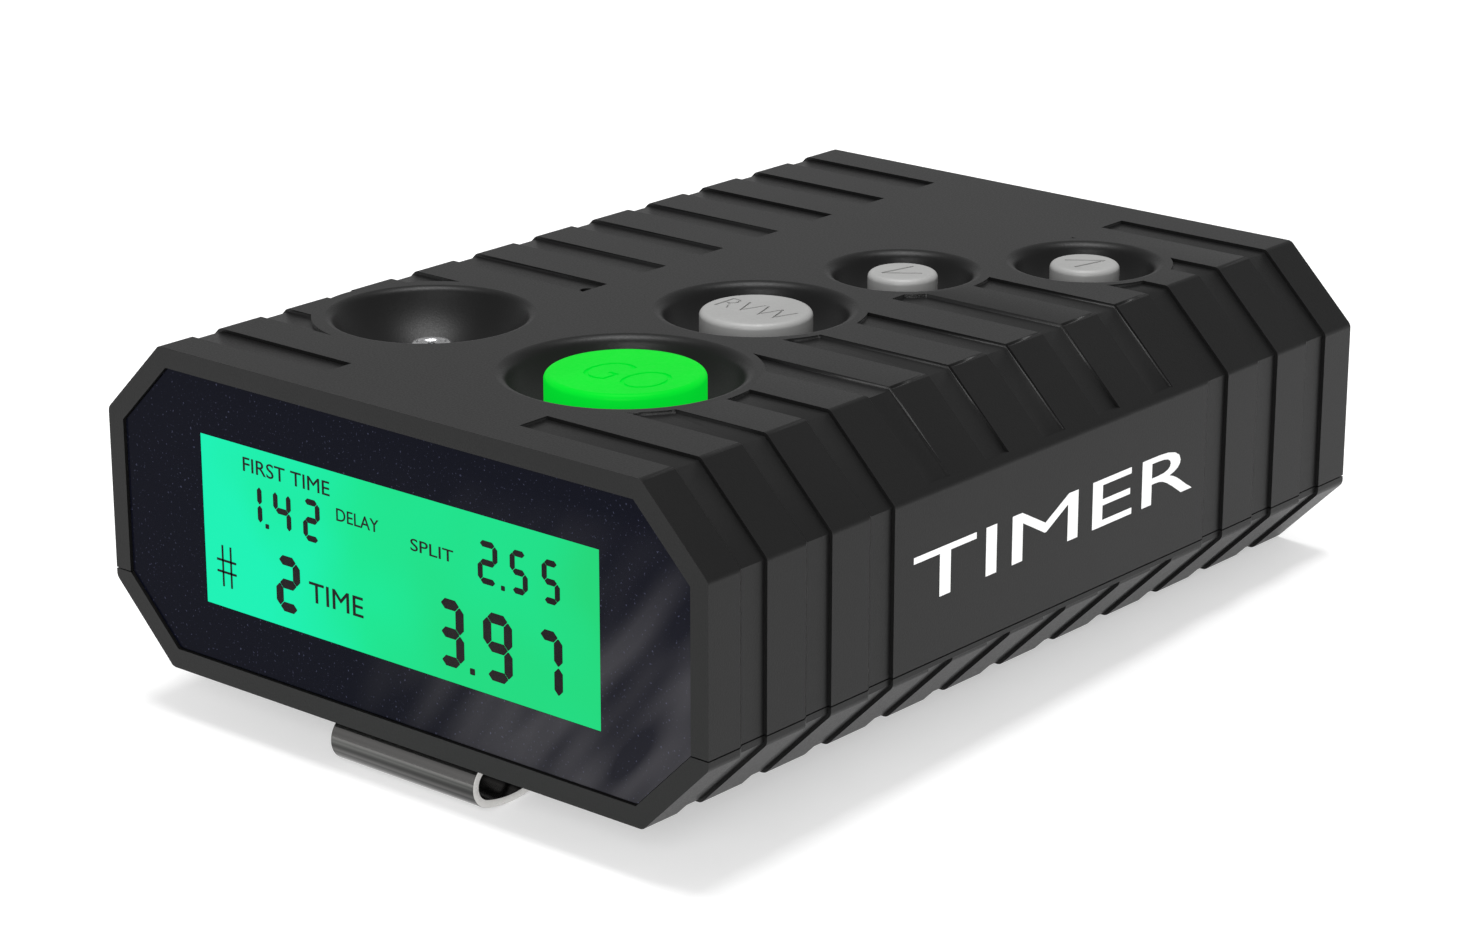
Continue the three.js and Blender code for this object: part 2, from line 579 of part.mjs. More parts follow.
// One bent strip of spring steel, made as two nodes that meet just behind the belly: the
// leg, screwed under the body and bent round to the belly, and the tongue that springs open. Each is drawn by
// following the middle of the strip, which runs straight or turns at a radius.
function strip(start, headingDegrees, moves) {
  const half = clip.thickness / 2;
  let [y, z] = start;
  let heading = THREE.MathUtils.degToRad(headingDegrees);
  const left = [];
  const right = [];
  const mark = () => {
    left.push([y - half * Math.sin(heading), z + half * Math.cos(heading)]);
    right.push([y + half * Math.sin(heading), z - half * Math.cos(heading)]);
  };
  mark();
  for (const { run, turn, radius } of moves) {
    const steps = run ? 1 : Math.max(2, Math.ceil(Math.abs(turn) / bendStep));
    const bend = run ? 0 : THREE.MathUtils.degToRad(turn) / steps;
    const chord = run || 2 * radius * Math.sin(Math.abs(bend) / 2);
    for (let i = 0; i < steps; i += 1) {
      y += chord * Math.cos(heading + bend / 2);
      z += chord * Math.sin(heading + bend / 2);
      heading += bend;
      mark();
    }
  }
  return alongX([...right, ...left.reverse()], -clip.width / 2, clip.width / 2);
}

// The belly below the bend is a wide arc, tangent to the bend and level at its lowest point.
const bellyAcross = belly.y - bendCentre.y;
const bellyBelow = belly.drop + bendCentre.z;
const bellyRadius = (bellyAcross ** 2 + bellyBelow ** 2 - clip.bend ** 2) / (2 * (bellyBelow - clip.bend));
const bellyTurn = THREE.MathUtils.radToDeg(Math.asin(bellyAcross / (bellyRadius - clip.bend)));
const bellyMiddle = bellyRadius - clip.thickness / 2;
const splitTurn = THREE.MathUtils.radToDeg(split.gap / 2 / bellyMiddle);

function clipLeg() {
  const whole = strip([legEnd, clipTop - clip.thickness / 2], 180, [
    { run: legEnd - bendCentre.y },
    { turn: 180 - bellyTurn, radius: clip.bend - clip.thickness / 2 },
    { turn: bellyTurn, radius: bellyMiddle },
    { turn: split.turn - splitTurn, radius: bellyMiddle },
  ]);
  const under = clipTop - clip.thickness;
  const holes = [clipScrew.first, clipScrew.second].map((y) => turned([[0, under - over],
    [clipScrew.head + fitGap, under - over], [clipScrew.head + fitGap, under],
    [clipScrew.radius + fitGap, clipTop], [clipScrew.radius + fitGap, clipTop + over],
    [0, clipTop + over]], 0, y, smallSteps));
  return cut(whole, holes);
}

function clipTongue() {
  const startTurn = split.turn + splitTurn;
  const start = THREE.MathUtils.degToRad(startTurn);
  const whole = strip([belly.y + bellyMiddle * Math.sin(start),
    clipBottom + bellyRadius - bellyMiddle * Math.cos(start)], startTurn, [
    { turn: tongue.rise - startTurn, radius: bellyMiddle },
    { run: tongue.riseRun },
    { turn: tongue.slope - tongue.rise, radius: tongue.easeRadius },
    { run: tongue.gripRun },
    { turn: -tongue.slope - tongue.flare, radius: tongue.ridgeRadius },
    { run: tongue.flareRun },
  ]);
  return cut(whole, [clipScrew.first, clipScrew.second].map((y) => (
    rod(clipScrew.access, clipBottom - over, clipTop - clip.thickness, 0, y))));
}
piece('clip_leg', clipLeg(), 'steel');
piece('clip_tongue', clipTongue(), 'steel');
[clipScrew.first, clipScrew.second].forEach((y, i) => {
  const under = clipTop - clip.thickness;
  const tip = clipScrew.length - fitGap;
  piece(`clip_screw_${i + 1}`, turned([[0, under], [clipScrew.head, under],
    [clipScrew.radius, clipTop], [clipScrew.radius, tip], [0, tip]], 0, y, smallSteps), 'steel');
});

export default timer;
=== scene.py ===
# Shot timer: an eight-sided moulded box with a lit display across its front end, four keys
# and a sound bowl on top, a battery door at the rear and a spring steel belt clip below.
# Metres, +Z up, -Y out through the display. The pieces follow in the order of assembly.
import math

import bpy
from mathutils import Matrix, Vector


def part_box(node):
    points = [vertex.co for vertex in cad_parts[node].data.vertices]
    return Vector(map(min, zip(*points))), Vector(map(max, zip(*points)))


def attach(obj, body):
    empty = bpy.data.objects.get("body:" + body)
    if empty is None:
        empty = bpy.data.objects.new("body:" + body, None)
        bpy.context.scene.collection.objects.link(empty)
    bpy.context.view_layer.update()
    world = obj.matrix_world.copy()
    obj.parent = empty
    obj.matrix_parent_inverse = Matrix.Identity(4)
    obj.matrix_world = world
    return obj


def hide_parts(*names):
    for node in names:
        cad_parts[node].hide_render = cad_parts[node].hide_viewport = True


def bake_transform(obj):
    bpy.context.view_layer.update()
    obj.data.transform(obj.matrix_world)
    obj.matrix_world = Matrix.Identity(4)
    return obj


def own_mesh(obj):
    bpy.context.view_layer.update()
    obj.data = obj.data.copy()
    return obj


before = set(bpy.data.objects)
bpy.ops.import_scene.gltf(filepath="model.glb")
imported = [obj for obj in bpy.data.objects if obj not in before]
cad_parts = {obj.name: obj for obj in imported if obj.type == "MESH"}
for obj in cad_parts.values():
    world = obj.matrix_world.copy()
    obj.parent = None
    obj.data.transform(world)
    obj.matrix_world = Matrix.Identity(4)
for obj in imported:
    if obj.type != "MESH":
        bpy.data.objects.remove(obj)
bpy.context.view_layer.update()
mm = 0.001

# ---------------------------------------------------------------- the two shells
# The casing is two mouldings in black ABS with a fine spark texture, parted along the lower
# corners. One octagonal block with shallow grip bands is drawn, then split into the halves.
# Posts, ribs and battery bay come from the CAD halves, which are joined to the fine skins.
box_low, box_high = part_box("lower_shell")[0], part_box("upper_shell")[1]
front, rear = box_low.y, box_high.y
under, top = box_low.z, box_high.z
half_width, length, height = box_high.x, rear - front, top - under
middle_z = (under + top) / 2
chamfer = 7.5 * mm
corner_share = 2 - math.sqrt(2)
parting = (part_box("lower_shell")[0].z + 8.33 * mm)
seam = 0.12 * mm


def select_nothing():
    if bpy.context.mode != "OBJECT":
        bpy.ops.object.mode_set(mode="OBJECT")
    bpy.ops.object.select_all(action="DESELECT")


def edit(piece):
    """Opens a piece for editing with nothing else selected."""
    select_nothing()
    piece.select_set(True)
    bpy.context.view_layer.objects.active = piece
    bpy.ops.object.mode_set(mode="EDIT")


def pick(piece, domain, wanted):
    """Selects the faces or edges of a piece for which wanted(middle, element) is true."""
    bpy.ops.mesh.select_mode(type=domain)
    bpy.ops.object.mode_set(mode="OBJECT")
    mesh = piece.data
    for each in (*mesh.vertices, *mesh.edges, *mesh.polygons):
        each.select = False
    if domain == "FACE":
        for face in mesh.polygons:
            face.select = bool(wanted(face.center, face))
    else:
        for edge in mesh.edges:
            a, b = (mesh.vertices[i].co for i in edge.vertices)
            edge.select = bool(wanted((a + b) / 2, b - a))
    bpy.ops.object.mode_set(mode="EDIT")


def settle(piece, name=None):
    """Puts a piece's place into its mesh, so that its object sits at the origin."""
    select_nothing()
    piece.select_set(True)
    bpy.context.view_layer.objects.active = piece
    bpy.ops.object.transform_apply(location=True, rotation=True, scale=True)
    if name:
        piece.name = piece.data.name = name
    return piece


def block(name, low, high):
    """A box between two corners, still to be shaped."""
    low, high = Vector(low), Vector(high)
    select_nothing()
    bpy.ops.mesh.primitive_cube_add(size=1, location=(low + high) / 2)
    piece = bpy.context.object
    piece.scale = high - low
    return settle(piece, name)


def octagon(name, inset, y0, y1, soft=0.0):
    """The casing's eight-sided section, drawn in by an even distance and run along Y."""
    side = half_width - inset
    piece = block(name, (-side, y0, under + inset), (side, y1, top - inset))
    edit(piece)
    pick(piece, "EDGE", lambda middle, run: abs(run.y) > abs(run.x) + abs(run.z))
    bpy.ops.mesh.bevel(offset=chamfer - inset * corner_share, segments=1, affect="EDGES")
    if soft:
        pick(piece, "EDGE", lambda middle, run: abs(run.y) > 0.9 * (y1 - y0))
        bpy.ops.mesh.bevel(offset=soft, segments=3, affect="EDGES")
    bpy.ops.object.mode_set(mode="OBJECT")
    return piece


def turned(name, profile, x, y, sides=96):
    """A solid of revolution about a vertical axis: a disc is extruded from ring to ring."""
    (radius, z), *rings = profile
    select_nothing()
    bpy.ops.mesh.primitive_circle_add(vertices=sides, radius=radius, fill_type="NGON",
                                      location=(x, y, z))
    piece = settle(bpy.context.object, name)
    edit(piece)
    bpy.ops.mesh.select_all(action="SELECT")
    for next_radius, next_z in rings:
        bpy.ops.mesh.extrude_region_move(TRANSFORM_OT_translate={"value": (0, 0, next_z - z)})
        share = next_radius / radius
        bpy.ops.transform.resize(value=(share, share, 1), center_override=(x, y, next_z))
        radius, z = next_radius, next_z
    bpy.ops.mesh.select_all(action="SELECT")
    bpy.ops.mesh.remove_doubles(threshold=1e-7)
    bpy.ops.mesh.normals_make_consistent(inside=False)
    bpy.ops.object.mode_set(mode="OBJECT")
    return piece


def lying(piece, x, y, z, axis):
    """Turns an upright solid of revolution at the origin to run along X or Y, then places it."""
    piece.rotation_euler = (0, math.pi / 2, 0) if axis == "X" else (-math.pi / 2, 0, 0)
    piece.location = (x, y, z)
    return settle(piece)


def combine(piece, other, operation, overlapping=False):
    """Applies one Boolean to a piece and removes the tool."""
    select_nothing()
    bpy.context.view_layer.objects.active = piece
    step = piece.modifiers.new(operation.lower(), "BOOLEAN")
    step.operation, step.object, step.solver = operation, other, "EXACT"
    step.use_self = overlapping
    bpy.ops.object.modifier_apply(modifier=step.name)
    bpy.data.objects.remove(other)
    return piece


def copied(piece, name):
    twin = piece.copy()
    twin.data = piece.data.copy()
    bpy.context.scene.collection.objects.link(twin)
    twin.name = twin.data.name = name
    return twin


def smooth(piece, degrees=30):
    """Smooth shading below an angle, with the large flat faces kept flat."""
    select_nothing()
    piece.select_set(True)
    bpy.context.view_layer.objects.active = piece
    bpy.ops.object.shade_smooth_by_angle(angle=math.radians(degrees))
    weigh = piece.modifiers.new("weigh", "WEIGHTED_NORMAL")
    weigh.keep_sharp = True
    bpy.ops.object.modifier_apply(modifier=weigh.name)


def arc(centre_r, centre_z, radius, from_degrees, to_degrees, steps):
    """Points of an arc as (radius, height) pairs."""
    for i in range(steps + 1):
        angle = math.radians(from_degrees + (to_degrees - from_degrees) * i / steps)
        yield (centre_r + radius * math.cos(angle), centre_z + radius * math.sin(angle))


def middle_of(node):
    low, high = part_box(node)
    return (low + high) / 2


def radius_of(node):
    low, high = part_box(node)
    return (high.x - low.x) / 2


# Each grip band is a groove with a short ramp at its front and a steep wall at its rear.
band_pitch, band_width, band_depth, band_ramp = 8.76 * mm, 3.6 * mm, 0.35 * mm, 0.6 * mm
band_first = front + 7.7 * mm
band_count = 11
band_top_end = 12.25 * mm
band_under_end = 28 * mm
panel_bands = 3
key_names = ("go", "review", "previous", "next")
key_rim_reach = 4.5 * mm
flange = 1.1 * mm
key_radius = {name: radius_of(f"{name}_button") - flange for name in key_names}
bowl_middle = middle_of("microphone")
bowl_rim, bowl_depth, bowl_clear = 9.6 * mm, 6 * mm, 11.4 * mm


def grip_bands():
    start = band_first - band_width
    slab = octagon("bands", -1 * mm, start, band_first)
    core = octagon("core", band_depth, start - 1 * mm, band_first + 1 * mm)
    edit(core)
    bpy.ops.mesh.select_all(action="SELECT")
    bpy.ops.mesh.bisect(plane_co=(0, start + band_ramp, 0), plane_no=(0, 1, 0))
    bpy.ops.object.mode_set(mode="OBJECT")
    # the ramp: the core's front ring grows out past the skin
    rise = band_depth * (band_ramp + 1 * mm) / band_ramp
    for vertex in core.data.vertices:
        if vertex.co.y < start:
            vertex.co.x += math.copysign(rise, vertex.co.x)
            vertex.co.z += math.copysign(rise, vertex.co.z - middle_z)
    combine(slab, core, "DIFFERENCE")
    select_nothing()
    bpy.context.view_layer.objects.active = slab
    row = slab.modifiers.new("row", "ARRAY")
    row.count, row.use_relative_offset, row.use_constant_offset = band_count, False, True
    row.constant_offset_displace = (0, band_pitch, 0)
    bpy.ops.object.modifier_apply(modifier=row.name)
    far, above = 60 * mm, top + 5 * mm
    panel_front = band_first + band_pitch * panel_bands - band_width - 1 * mm
    panel_rear = band_first + band_pitch * (band_count - 1 - panel_bands) + 1 * mm
    panel_low, panel_high = under + chamfer + 0.3 * mm, top - chamfer + 0.6 * mm
    plain = [
        block("plain", (-band_top_end, front - far, middle_z), (band_top_end, rear + far, above)),
        block("plain", (-band_under_end, front - far, under - far),
              (band_under_end, rear + far, middle_z)),
        block("plain", (half_width - chamfer, panel_front, panel_low), (far, panel_rear, panel_high)),
        block("plain", (-far, panel_front, panel_low), (chamfer - half_width, panel_rear, panel_high)),
        block("plain", (bowl_middle.x, bowl_middle.y - bowl_clear, middle_z),
              (0, bowl_middle.y + bowl_clear, above)),
        turned("plain", [(bowl_clear, middle_z), (bowl_clear, above)], bowl_middle.x,
               bowl_middle.y),
    ]
    for name in key_names:
        at = middle_of(f"{name}_button")
        reach = key_radius[name] + key_rim_reach + 0.8 * mm
        plain.append(turned("plain", [(reach, middle_z), (reach, above)], at.x, at.y))
    for tool in plain:
        combine(slab, tool, "DIFFERENCE")
    return slab


skin = octagon("skin", 0, front, rear, soft=0.3 * mm)
combine(skin, grip_bands(), "DIFFERENCE")

# The dish round each key: a rounded rim that runs into a hollow cut by an arc, and a round
# hole for the key. The sound bowl is a shallow piece of a sphere with a rounded rim.
dish_depth, dish_fillet, dish_hollow, dish_turn = 3.5 * mm, 1.2 * mm, 4.12 * mm, 70
key_gap = 0.25 * mm


def dish_tool(name):
    at = middle_of(f"{name}_button")
    outer = key_radius[name] + key_rim_reach
    hole = key_radius[name] + key_gap
    low = top - dish_depth
    hollow_z = low + dish_hollow
    hollow_r = outer - dish_fillet * math.sin(math.radians(dish_turn)) - dish_hollow * math.sin(
        math.radians(dish_turn))
    hollow = [(r, z) for r, z in arc(hollow_r, hollow_z, dish_hollow, -90, dish_turn - 90, 14)
              if r > hole]
    rim = list(arc(outer, top - dish_fillet, dish_fillet, 180 - (90 - dish_turn), 90, 10))
    profile = [(hole, low - 3 * mm), (hole, low), *hollow, *rim[1:], (outer, top + 1 * mm)]
    return turned("dish", profile, at.x, at.y, 128)


def bowl_tool():
    sphere = (bowl_rim ** 2 + bowl_depth ** 2) / (2 * bowl_depth)
    rim_round = 1.0 * mm
    centre_z = top - bowl_depth + sphere
    # the rounded rim touches the top face and the sphere
    across = math.sqrt((sphere + rim_round) ** 2 - (centre_z - (top - rim_round)) ** 2)
    end = math.degrees(math.atan2(top - rim_round - centre_z, across))
    curve = list(arc(0, centre_z, sphere, -89, end, 24))
    rim = list(arc(across, top - rim_round, rim_round, 180 + end, 90, 8))
    profile = [*curve, *rim[1:], (across, top + 1 * mm)]
    return turned("bowl", profile, bowl_middle.x, bowl_middle.y, 160)


def openings():
    """The holes in the casing, as a list of tools."""
    sliver, tools = 0.01 * mm, []
    door_low, door_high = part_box("battery_door")
    side_gap, top_gap = 0.3 * mm + sliver, 0.3 * mm + sliver
    tools.append(block("doorway", (door_low.x - side_gap, door_low.y - side_gap, under - 1 * mm),
                       (door_high.x + side_gap, rear + 1 * mm, door_high.z + top_gap)))
    tools += [dish_tool(name) for name in key_names]
    tools.append(bowl_tool())
    boot = radius_of("microphone") + 0.9 * mm + 0.1 * mm + sliver
    tools.append(turned("boot_hole", [(boot, top - 9 * mm), (boot, top - 5 * mm)],
                        bowl_middle.x, bowl_middle.y, 64))
    port = middle_of("beeper")
    port_radius = 0.65 * mm + sliver
    tools.append(turned("port", [(port_radius, top - 3 * mm), (port_radius, top + 1 * mm)],
                        port.x, port.y, 32))
    for i in range(1, 5):
        at = middle_of(f"shell_screw_{i}")
        head = radius_of(f"shell_screw_{i}") + 0.2 * mm + sliver
        tools.append(turned("sink", [(head, under - 1 * mm), (head, under + 2.39 * mm)],
                            at.x, at.y, 48))
        tools.append(turned("shank", [(1.41 * mm, under + 2 * mm), (1.41 * mm, under + 9 * mm)],
                            at.x, at.y, 32))
    for i in (1, 2):
        at = middle_of(f"clip_screw_{i}")
        tools.append(turned("clip_hole", [(1.26 * mm, under - 1 * mm), (1.26 * mm, under + 2 * mm)],
                            at.x, at.y, 32))
    pin_low, pin_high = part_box("door_hinge_pin")
    pin = (pin_low + pin_high) / 2
    reach = pin_high.x + 0.1 * mm + sliver
    bore = turned("pin_bore", [(0.71 * mm, -reach), (0.71 * mm, reach)], 0, 0, 32)
    tools.append(lying(bore, pin.x, pin.y, pin.z, "X"))
    return tools


def plugs():
    """Stuff under the dishes and the bowl, for the fine tools to cut again."""
    found = []
    for name in key_names:
        at = middle_of(f"{name}_button")
        reach = key_radius[name] + key_rim_reach
        found.append(turned("plug", [(reach, top - 5 * mm), (reach, top - 0.8 * mm)], at.x, at.y, 64))
    reach, foot = bowl_rim + 0.6 * mm, 4.6 * mm
    found.append(turned("plug", [(foot, top - 7.5 * mm), (foot, top - 6.5 * mm),
                                 (reach, top - 3 * mm), (reach, top - 0.8 * mm)],
                        bowl_middle.x, bowl_middle.y, 64))
    return found


def half_shell(name, node, low, high, extra):
    """One half of the casing: its skin, the CAD half's inside, and then every opening."""
    shell = copied(skin, name)
    wall = 1.2 * mm
    combine(shell, octagon("hollow", wall, front + wall, rear - wall), "DIFFERENCE")
    far = 80 * mm
    combine(shell, octagon("window", 1.99 * mm, front - 1 * mm, front + 2 * mm), "DIFFERENCE")
    combine(shell, block("keep", (-far, -far, low), (far, far, high)), "INTERSECT")
    inner = copied(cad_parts[node], "inner")
    inner.parent = None
    edit(inner)
    bpy.ops.mesh.select_all(action="SELECT")
    bpy.ops.mesh.remove_doubles(threshold=1e-6)
    bpy.ops.object.mode_set(mode="OBJECT")
    inset = 0.7 * mm
    combine(inner, octagon("core", inset, front + inset, rear - inset), "INTERSECT")
    combine(shell, inner, "UNION")
    for plug in extra:
        combine(shell, plug, "UNION")
    for tool in openings():
        combine(shell, tool, "DIFFERENCE")
    edit(shell)
    bpy.ops.mesh.select_all(action="SELECT")
    bpy.ops.mesh.remove_doubles(threshold=2e-6)
    bpy.ops.mesh.dissolve_limited(angle_limit=math.radians(0.5))
    bpy.ops.object.mode_set(mode="OBJECT")
    smooth(shell, 28)
    shell.data.materials.clear()
    shell.data.materials.append(moulding)
    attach(shell, "housing")
    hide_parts(node)
    return shell


def finish_material(name, base, roughness, metallic=0.0):
    """A named material with its nodes cleared to one Principled shader."""
    material = bpy.data.materials.new(name)
    material.use_nodes = True
    nodes = material.node_tree.nodes
    shader = nodes["Principled BSDF"]
    shader.inputs["Base Color"].default_value = (*base, 1)
    shader.inputs["Roughness"].default_value = roughness
    shader.inputs["Metallic"].default_value = metallic
    return material, shader


def add_node(material, kind, **settings):
    node = material.node_tree.nodes.new(kind)
    for key, value in settings.items():
        if key in node.inputs:
            node.inputs[key].default_value = value
        else:
            setattr(node, key, value)
    return node


def wire(material, source, target):
    material.node_tree.links.new(source, target)


def noise(material, scale, detail=3.0, rough=0.5):
    """Noise on object coordinates, as a socket from 0 to 1."""
    place = add_node(material, "ShaderNodeTexCoord")
    grain = add_node(material, "ShaderNodeTexNoise")
    grain.inputs["Scale"].default_value = scale
    grain.inputs["Detail"].default_value = detail
    grain.inputs["Roughness"].default_value = rough
    wire(material, place.outputs["Object"], grain.inputs["Vector"])
    return grain.outputs["Fac"]


def spread(material, source, low, high, first, last):
    """Maps a socket's range low..high to colours or grey values first..last."""
    ramp = add_node(material, "ShaderNodeValToRGB")
    ramp.color_ramp.elements[0].position = low
    ramp.color_ramp.elements[1].position = high
    ramp.color_ramp.elements[0].color = (*first, 1)
    ramp.color_ramp.elements[1].color = (*last, 1)
    wire(material, source, ramp.inputs["Fac"])
    return ramp.outputs["Color"]


def grain_finish(name, dark, light, rough_low, rough_high, grain_scale, depth, mottle=60.0):
    """A moulded finish: mottled colour, uneven gloss and a fine raised grain."""
    material, shader = finish_material(name, dark, rough_high)
    cloud = noise(material, mottle, 4.0)
    wire(material, spread(material, cloud, 0.35, 0.65, dark, light), shader.inputs["Base Color"])
    fine = noise(material, grain_scale, 2.0, 0.6)
    wire(material, spread(material, fine, 0.3, 0.7, (rough_low,) * 3, (rough_high,) * 3),
         shader.inputs["Roughness"])
    bump = add_node(material, "ShaderNodeBump", Strength=1.0, Distance=depth)
    wire(material, fine, bump.inputs["Height"])
    wire(material, bump.outputs["Normal"], shader.inputs["Normal"])
    return material, shader


moulding, moulding_shader = grain_finish("moulded_black_abs", (0.0042,) * 3, (0.0052,) * 3,
                                         0.36, 0.46, 5200.0, 0.012 * mm)
moulding_shader.inputs["Specular IOR Level"].default_value = 0.20

casing_top = half_shell("casing_top", "upper_shell", parting + seam / 2 + 0.003 * mm,
                        top + 1 * mm, plugs())
casing_base = half_shell("casing_base", "lower_shell", under - 1 * mm,
                         parting - seam / 2 - 0.003 * mm, [])
bpy.data.objects.remove(skin)

# ---------------------------------------------------------------- what lies inside
# The inner pieces are the CAD nodes themselves: the battery and its snaps, the circuit boards
# and their parts, the display stack, foam, screws and brass inserts. Each has its own finish.
battery_finish, _ = grain_finish("wrapped_steel_can", (0.020, 0.022, 0.026), (0.030, 0.032, 0.036),
                                 0.30, 0.42, 900.0, 0.002 * mm)
steel_finish, steel_shader = grain_finish("plated_steel", (0.55, 0.54, 0.52), (0.64, 0.63, 0.61),
                                          0.22, 0.38, 2600.0, 0.003 * mm, 300.0)
steel_shader.inputs["Metallic"].default_value = 1.0
brass_finish, brass_shader = grain_finish("turned_brass", (0.62, 0.42, 0.16), (0.70, 0.50, 0.22),
                                          0.25, 0.38, 2400.0, 0.003 * mm, 300.0)
brass_shader.inputs["Metallic"].default_value = 1.0
board_finish, _ = grain_finish("green_solder_mask", (0.010, 0.085, 0.030), (0.016, 0.120, 0.045),
                               0.30, 0.45, 700.0, 0.004 * mm, 220.0)
chip_finish, _ = grain_finish("moulded_epoxy", (0.016,) * 3, (0.024,) * 3, 0.50, 0.65, 3000.0,
                              0.004 * mm)
foam_finish, _ = grain_finish("cell_foam", (0.030,) * 3, (0.055,) * 3, 0.85, 0.95, 1800.0,
                              0.05 * mm, 900.0)
rubber_finish, _ = grain_finish("silicone_rubber", (0.22, 0.22, 0.21), (0.27, 0.27, 0.26), 0.55,
                                0.7, 1500.0, 0.006 * mm, 200.0)
diffuser_finish, _ = grain_finish("milky_acrylic", (0.72, 0.74, 0.72), (0.80, 0.82, 0.80), 0.3,
                                  0.4, 500.0, 0.002 * mm, 90.0)
glass_finish, _ = grain_finish("display_glass", (0.05, 0.30, 0.20), (0.07, 0.36, 0.24), 0.08,
                               0.14, 400.0, 0.001 * mm, 60.0)
inner_finishes = {
    battery_finish: ["battery"],
    steel_finish: ["crystal", "door_hinge_pin", *(f"board_screw_{i}" for i in range(1, 5))],
    brass_finish: ["battery_contact_positive", "battery_contact_negative", "display_header",
                   *(f"shell_insert_{i}" for i in range(1, 5))],
    board_finish: ["main_board", "display_board"],
    chip_finish: ["controller_chip", "storage_capacitor", "beeper", "battery_contact_block",
                  "display_frame"],
    foam_finish: ["lens_tape", "beeper_ring", "door_pad", "microphone_boot"],
    rubber_finish: ["contact_strip_upper", "contact_strip_lower"],
    diffuser_finish: ["backlight_panel"],
    glass_finish: ["lcd_glass"],
}
for finish, names in inner_finishes.items():
    for name in names:
        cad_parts[name].data.materials.clear()
        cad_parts[name].data.materials.append(finish)


def finished(piece, finish, body, slot_name, *nodes, angle=30):
    """Shades a piece, gives it its finish, and ties it to the CAD."""
    smooth(piece, angle)
    piece.data.materials.clear()
    piece.data.materials.append(finish)
    if body:
        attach(piece, body)
    if nodes:
        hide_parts(*nodes)
    return piece


# ---------------------------------------------------------------- silicone domes
# A cone of silicone under each key pushes it up again.
dome_wall, dome_rim, dome_crown = 0.7 * mm, 0.6 * mm, 1.8 * mm
for name in key_names:
    low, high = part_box(f"{name}_dome")
    at, foot = (low + high) / 2, (high.x - low.x) / 2
    dome = turned(f"{name}_return_dome", [
        (dome_crown - dome_wall / 2, high.z - dome_wall), (foot - dome_wall, low.z + dome_rim),
        (foot - dome_wall, low.z), (foot, low.z), (foot, low.z + dome_wall - 0.15 * mm),
        (foot - 0.15 * mm, low.z + dome_wall), (dome_crown, high.z - 0.15 * mm),
        (dome_crown - 0.2 * mm, high.z)], at.x, at.y, 64)
    finished(dome, rubber_finish, "housing", "silicone", f"{name}_dome")
    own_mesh(dome)

# ---------------------------------------------------------------- keys
# The keys are moulded caps with a rounded top edge and a flange that stops them under the
# casing. The start key is translucent green with a painted glow, the other three light grey.
# Their legends are cut a little into the tops.
key_round, legend_depth = 0.6 * mm, 0.14 * mm
key_finish, key_shader = grain_finish("light_grey_key", (0.25, 0.25, 0.246), (0.28, 0.28, 0.276),
                                      0.42, 0.55, 2400.0, 0.006 * mm, 120.0)
go_finish, go_shader = grain_finish("green_key_painted_glow", (0.0, 0.15, 0.003), (0.0, 0.18, 0.004),
                                    0.38, 0.5, 2400.0, 0.006 * mm, 120.0)
# Painted glow: the start key's cap gives off green light of its own, and no lamp lights it.
go_shader.inputs["Emission Color"].default_value = (0.001, 1.0, 0.045, 1)
go_shader.inputs["Emission Strength"].default_value = 0.56
go_shader.inputs["Specular IOR Level"].default_value = 0.03


def lettering(name, words, width, cap, depth, thin=0.0):
    """Words as a solid that lies on the XY plane, with its lower left corner at the origin."""
    select_nothing()
    bpy.ops.object.text_add()
    text = bpy.context.object
    text.data.body, text.data.extrude, text.data.resolution_u = words, 0.5, 4
    text.data.offset = -thin
    bpy.ops.object.convert(target="MESH")
    piece = bpy.context.object
    edit(piece)
    bpy.ops.mesh.select_all(action="SELECT")
    bpy.ops.mesh.remove_doubles(threshold=1e-5)
    bpy.ops.mesh.normals_make_consistent(inside=False)
    bpy.ops.object.mode_set(mode="OBJECT")
    corner = [[pick_one(v.co[i] for v in piece.data.vertices) for i in range(3)]
              for pick_one in (min, max)]
    across, tall, thick = (corner[1][i] - corner[0][i] for i in range(3))
    piece.location = [-value for value in corner[0]]
    settle(piece)
    piece.scale = (width / across, cap / tall, depth / thick)
    return settle(piece, name)


def bar(name, start, end, thickness, z0, z1):
    """An upright slab whose plan is a straight line from start to end."""
    start, end = Vector(start), Vector(end)
    run = end - start
    piece = block(name, (-run.length / 2, -thickness / 2, z0), (run.length / 2, thickness / 2, z1))
    piece.rotation_euler = (0, 0, math.atan2(run.y, run.x))
    piece.location = (*((start + end) / 2), 0)
    return settle(piece)


def legend_tools(name, x, y, z):
    low, high = z - legend_depth, z + 0.3 * mm
    if name in ("go", "review"):
        words, width, cap = ("GO", 8.6 * mm, 5.4 * mm) if name == "go" else (
            "RVW", 8.2 * mm, 3.0 * mm)
        shift = (1.0 * mm, -0.8 * mm) if name == "go" else (0, 0)
        piece = lettering("legend", words, width, cap, high - low, 0.018)
        piece.location = (x + shift[0] - width / 2, y + shift[1] - cap / 2, low)
        return [settle(piece)]
    angle = math.radians(57 if name == "next" else 237)
    ahead = Vector((math.cos(angle), math.sin(angle)))
    aside = Vector((-ahead.y, ahead.x))
    centre = Vector((x, y))
    apex = centre + ahead * 2.2 * mm
    tail = centre - ahead * 1.6 * mm
    return [bar("chevron", apex, tail + aside * side * 1.35 * mm, 0.32 * mm, low, high)
            for side in (-1, 1)]


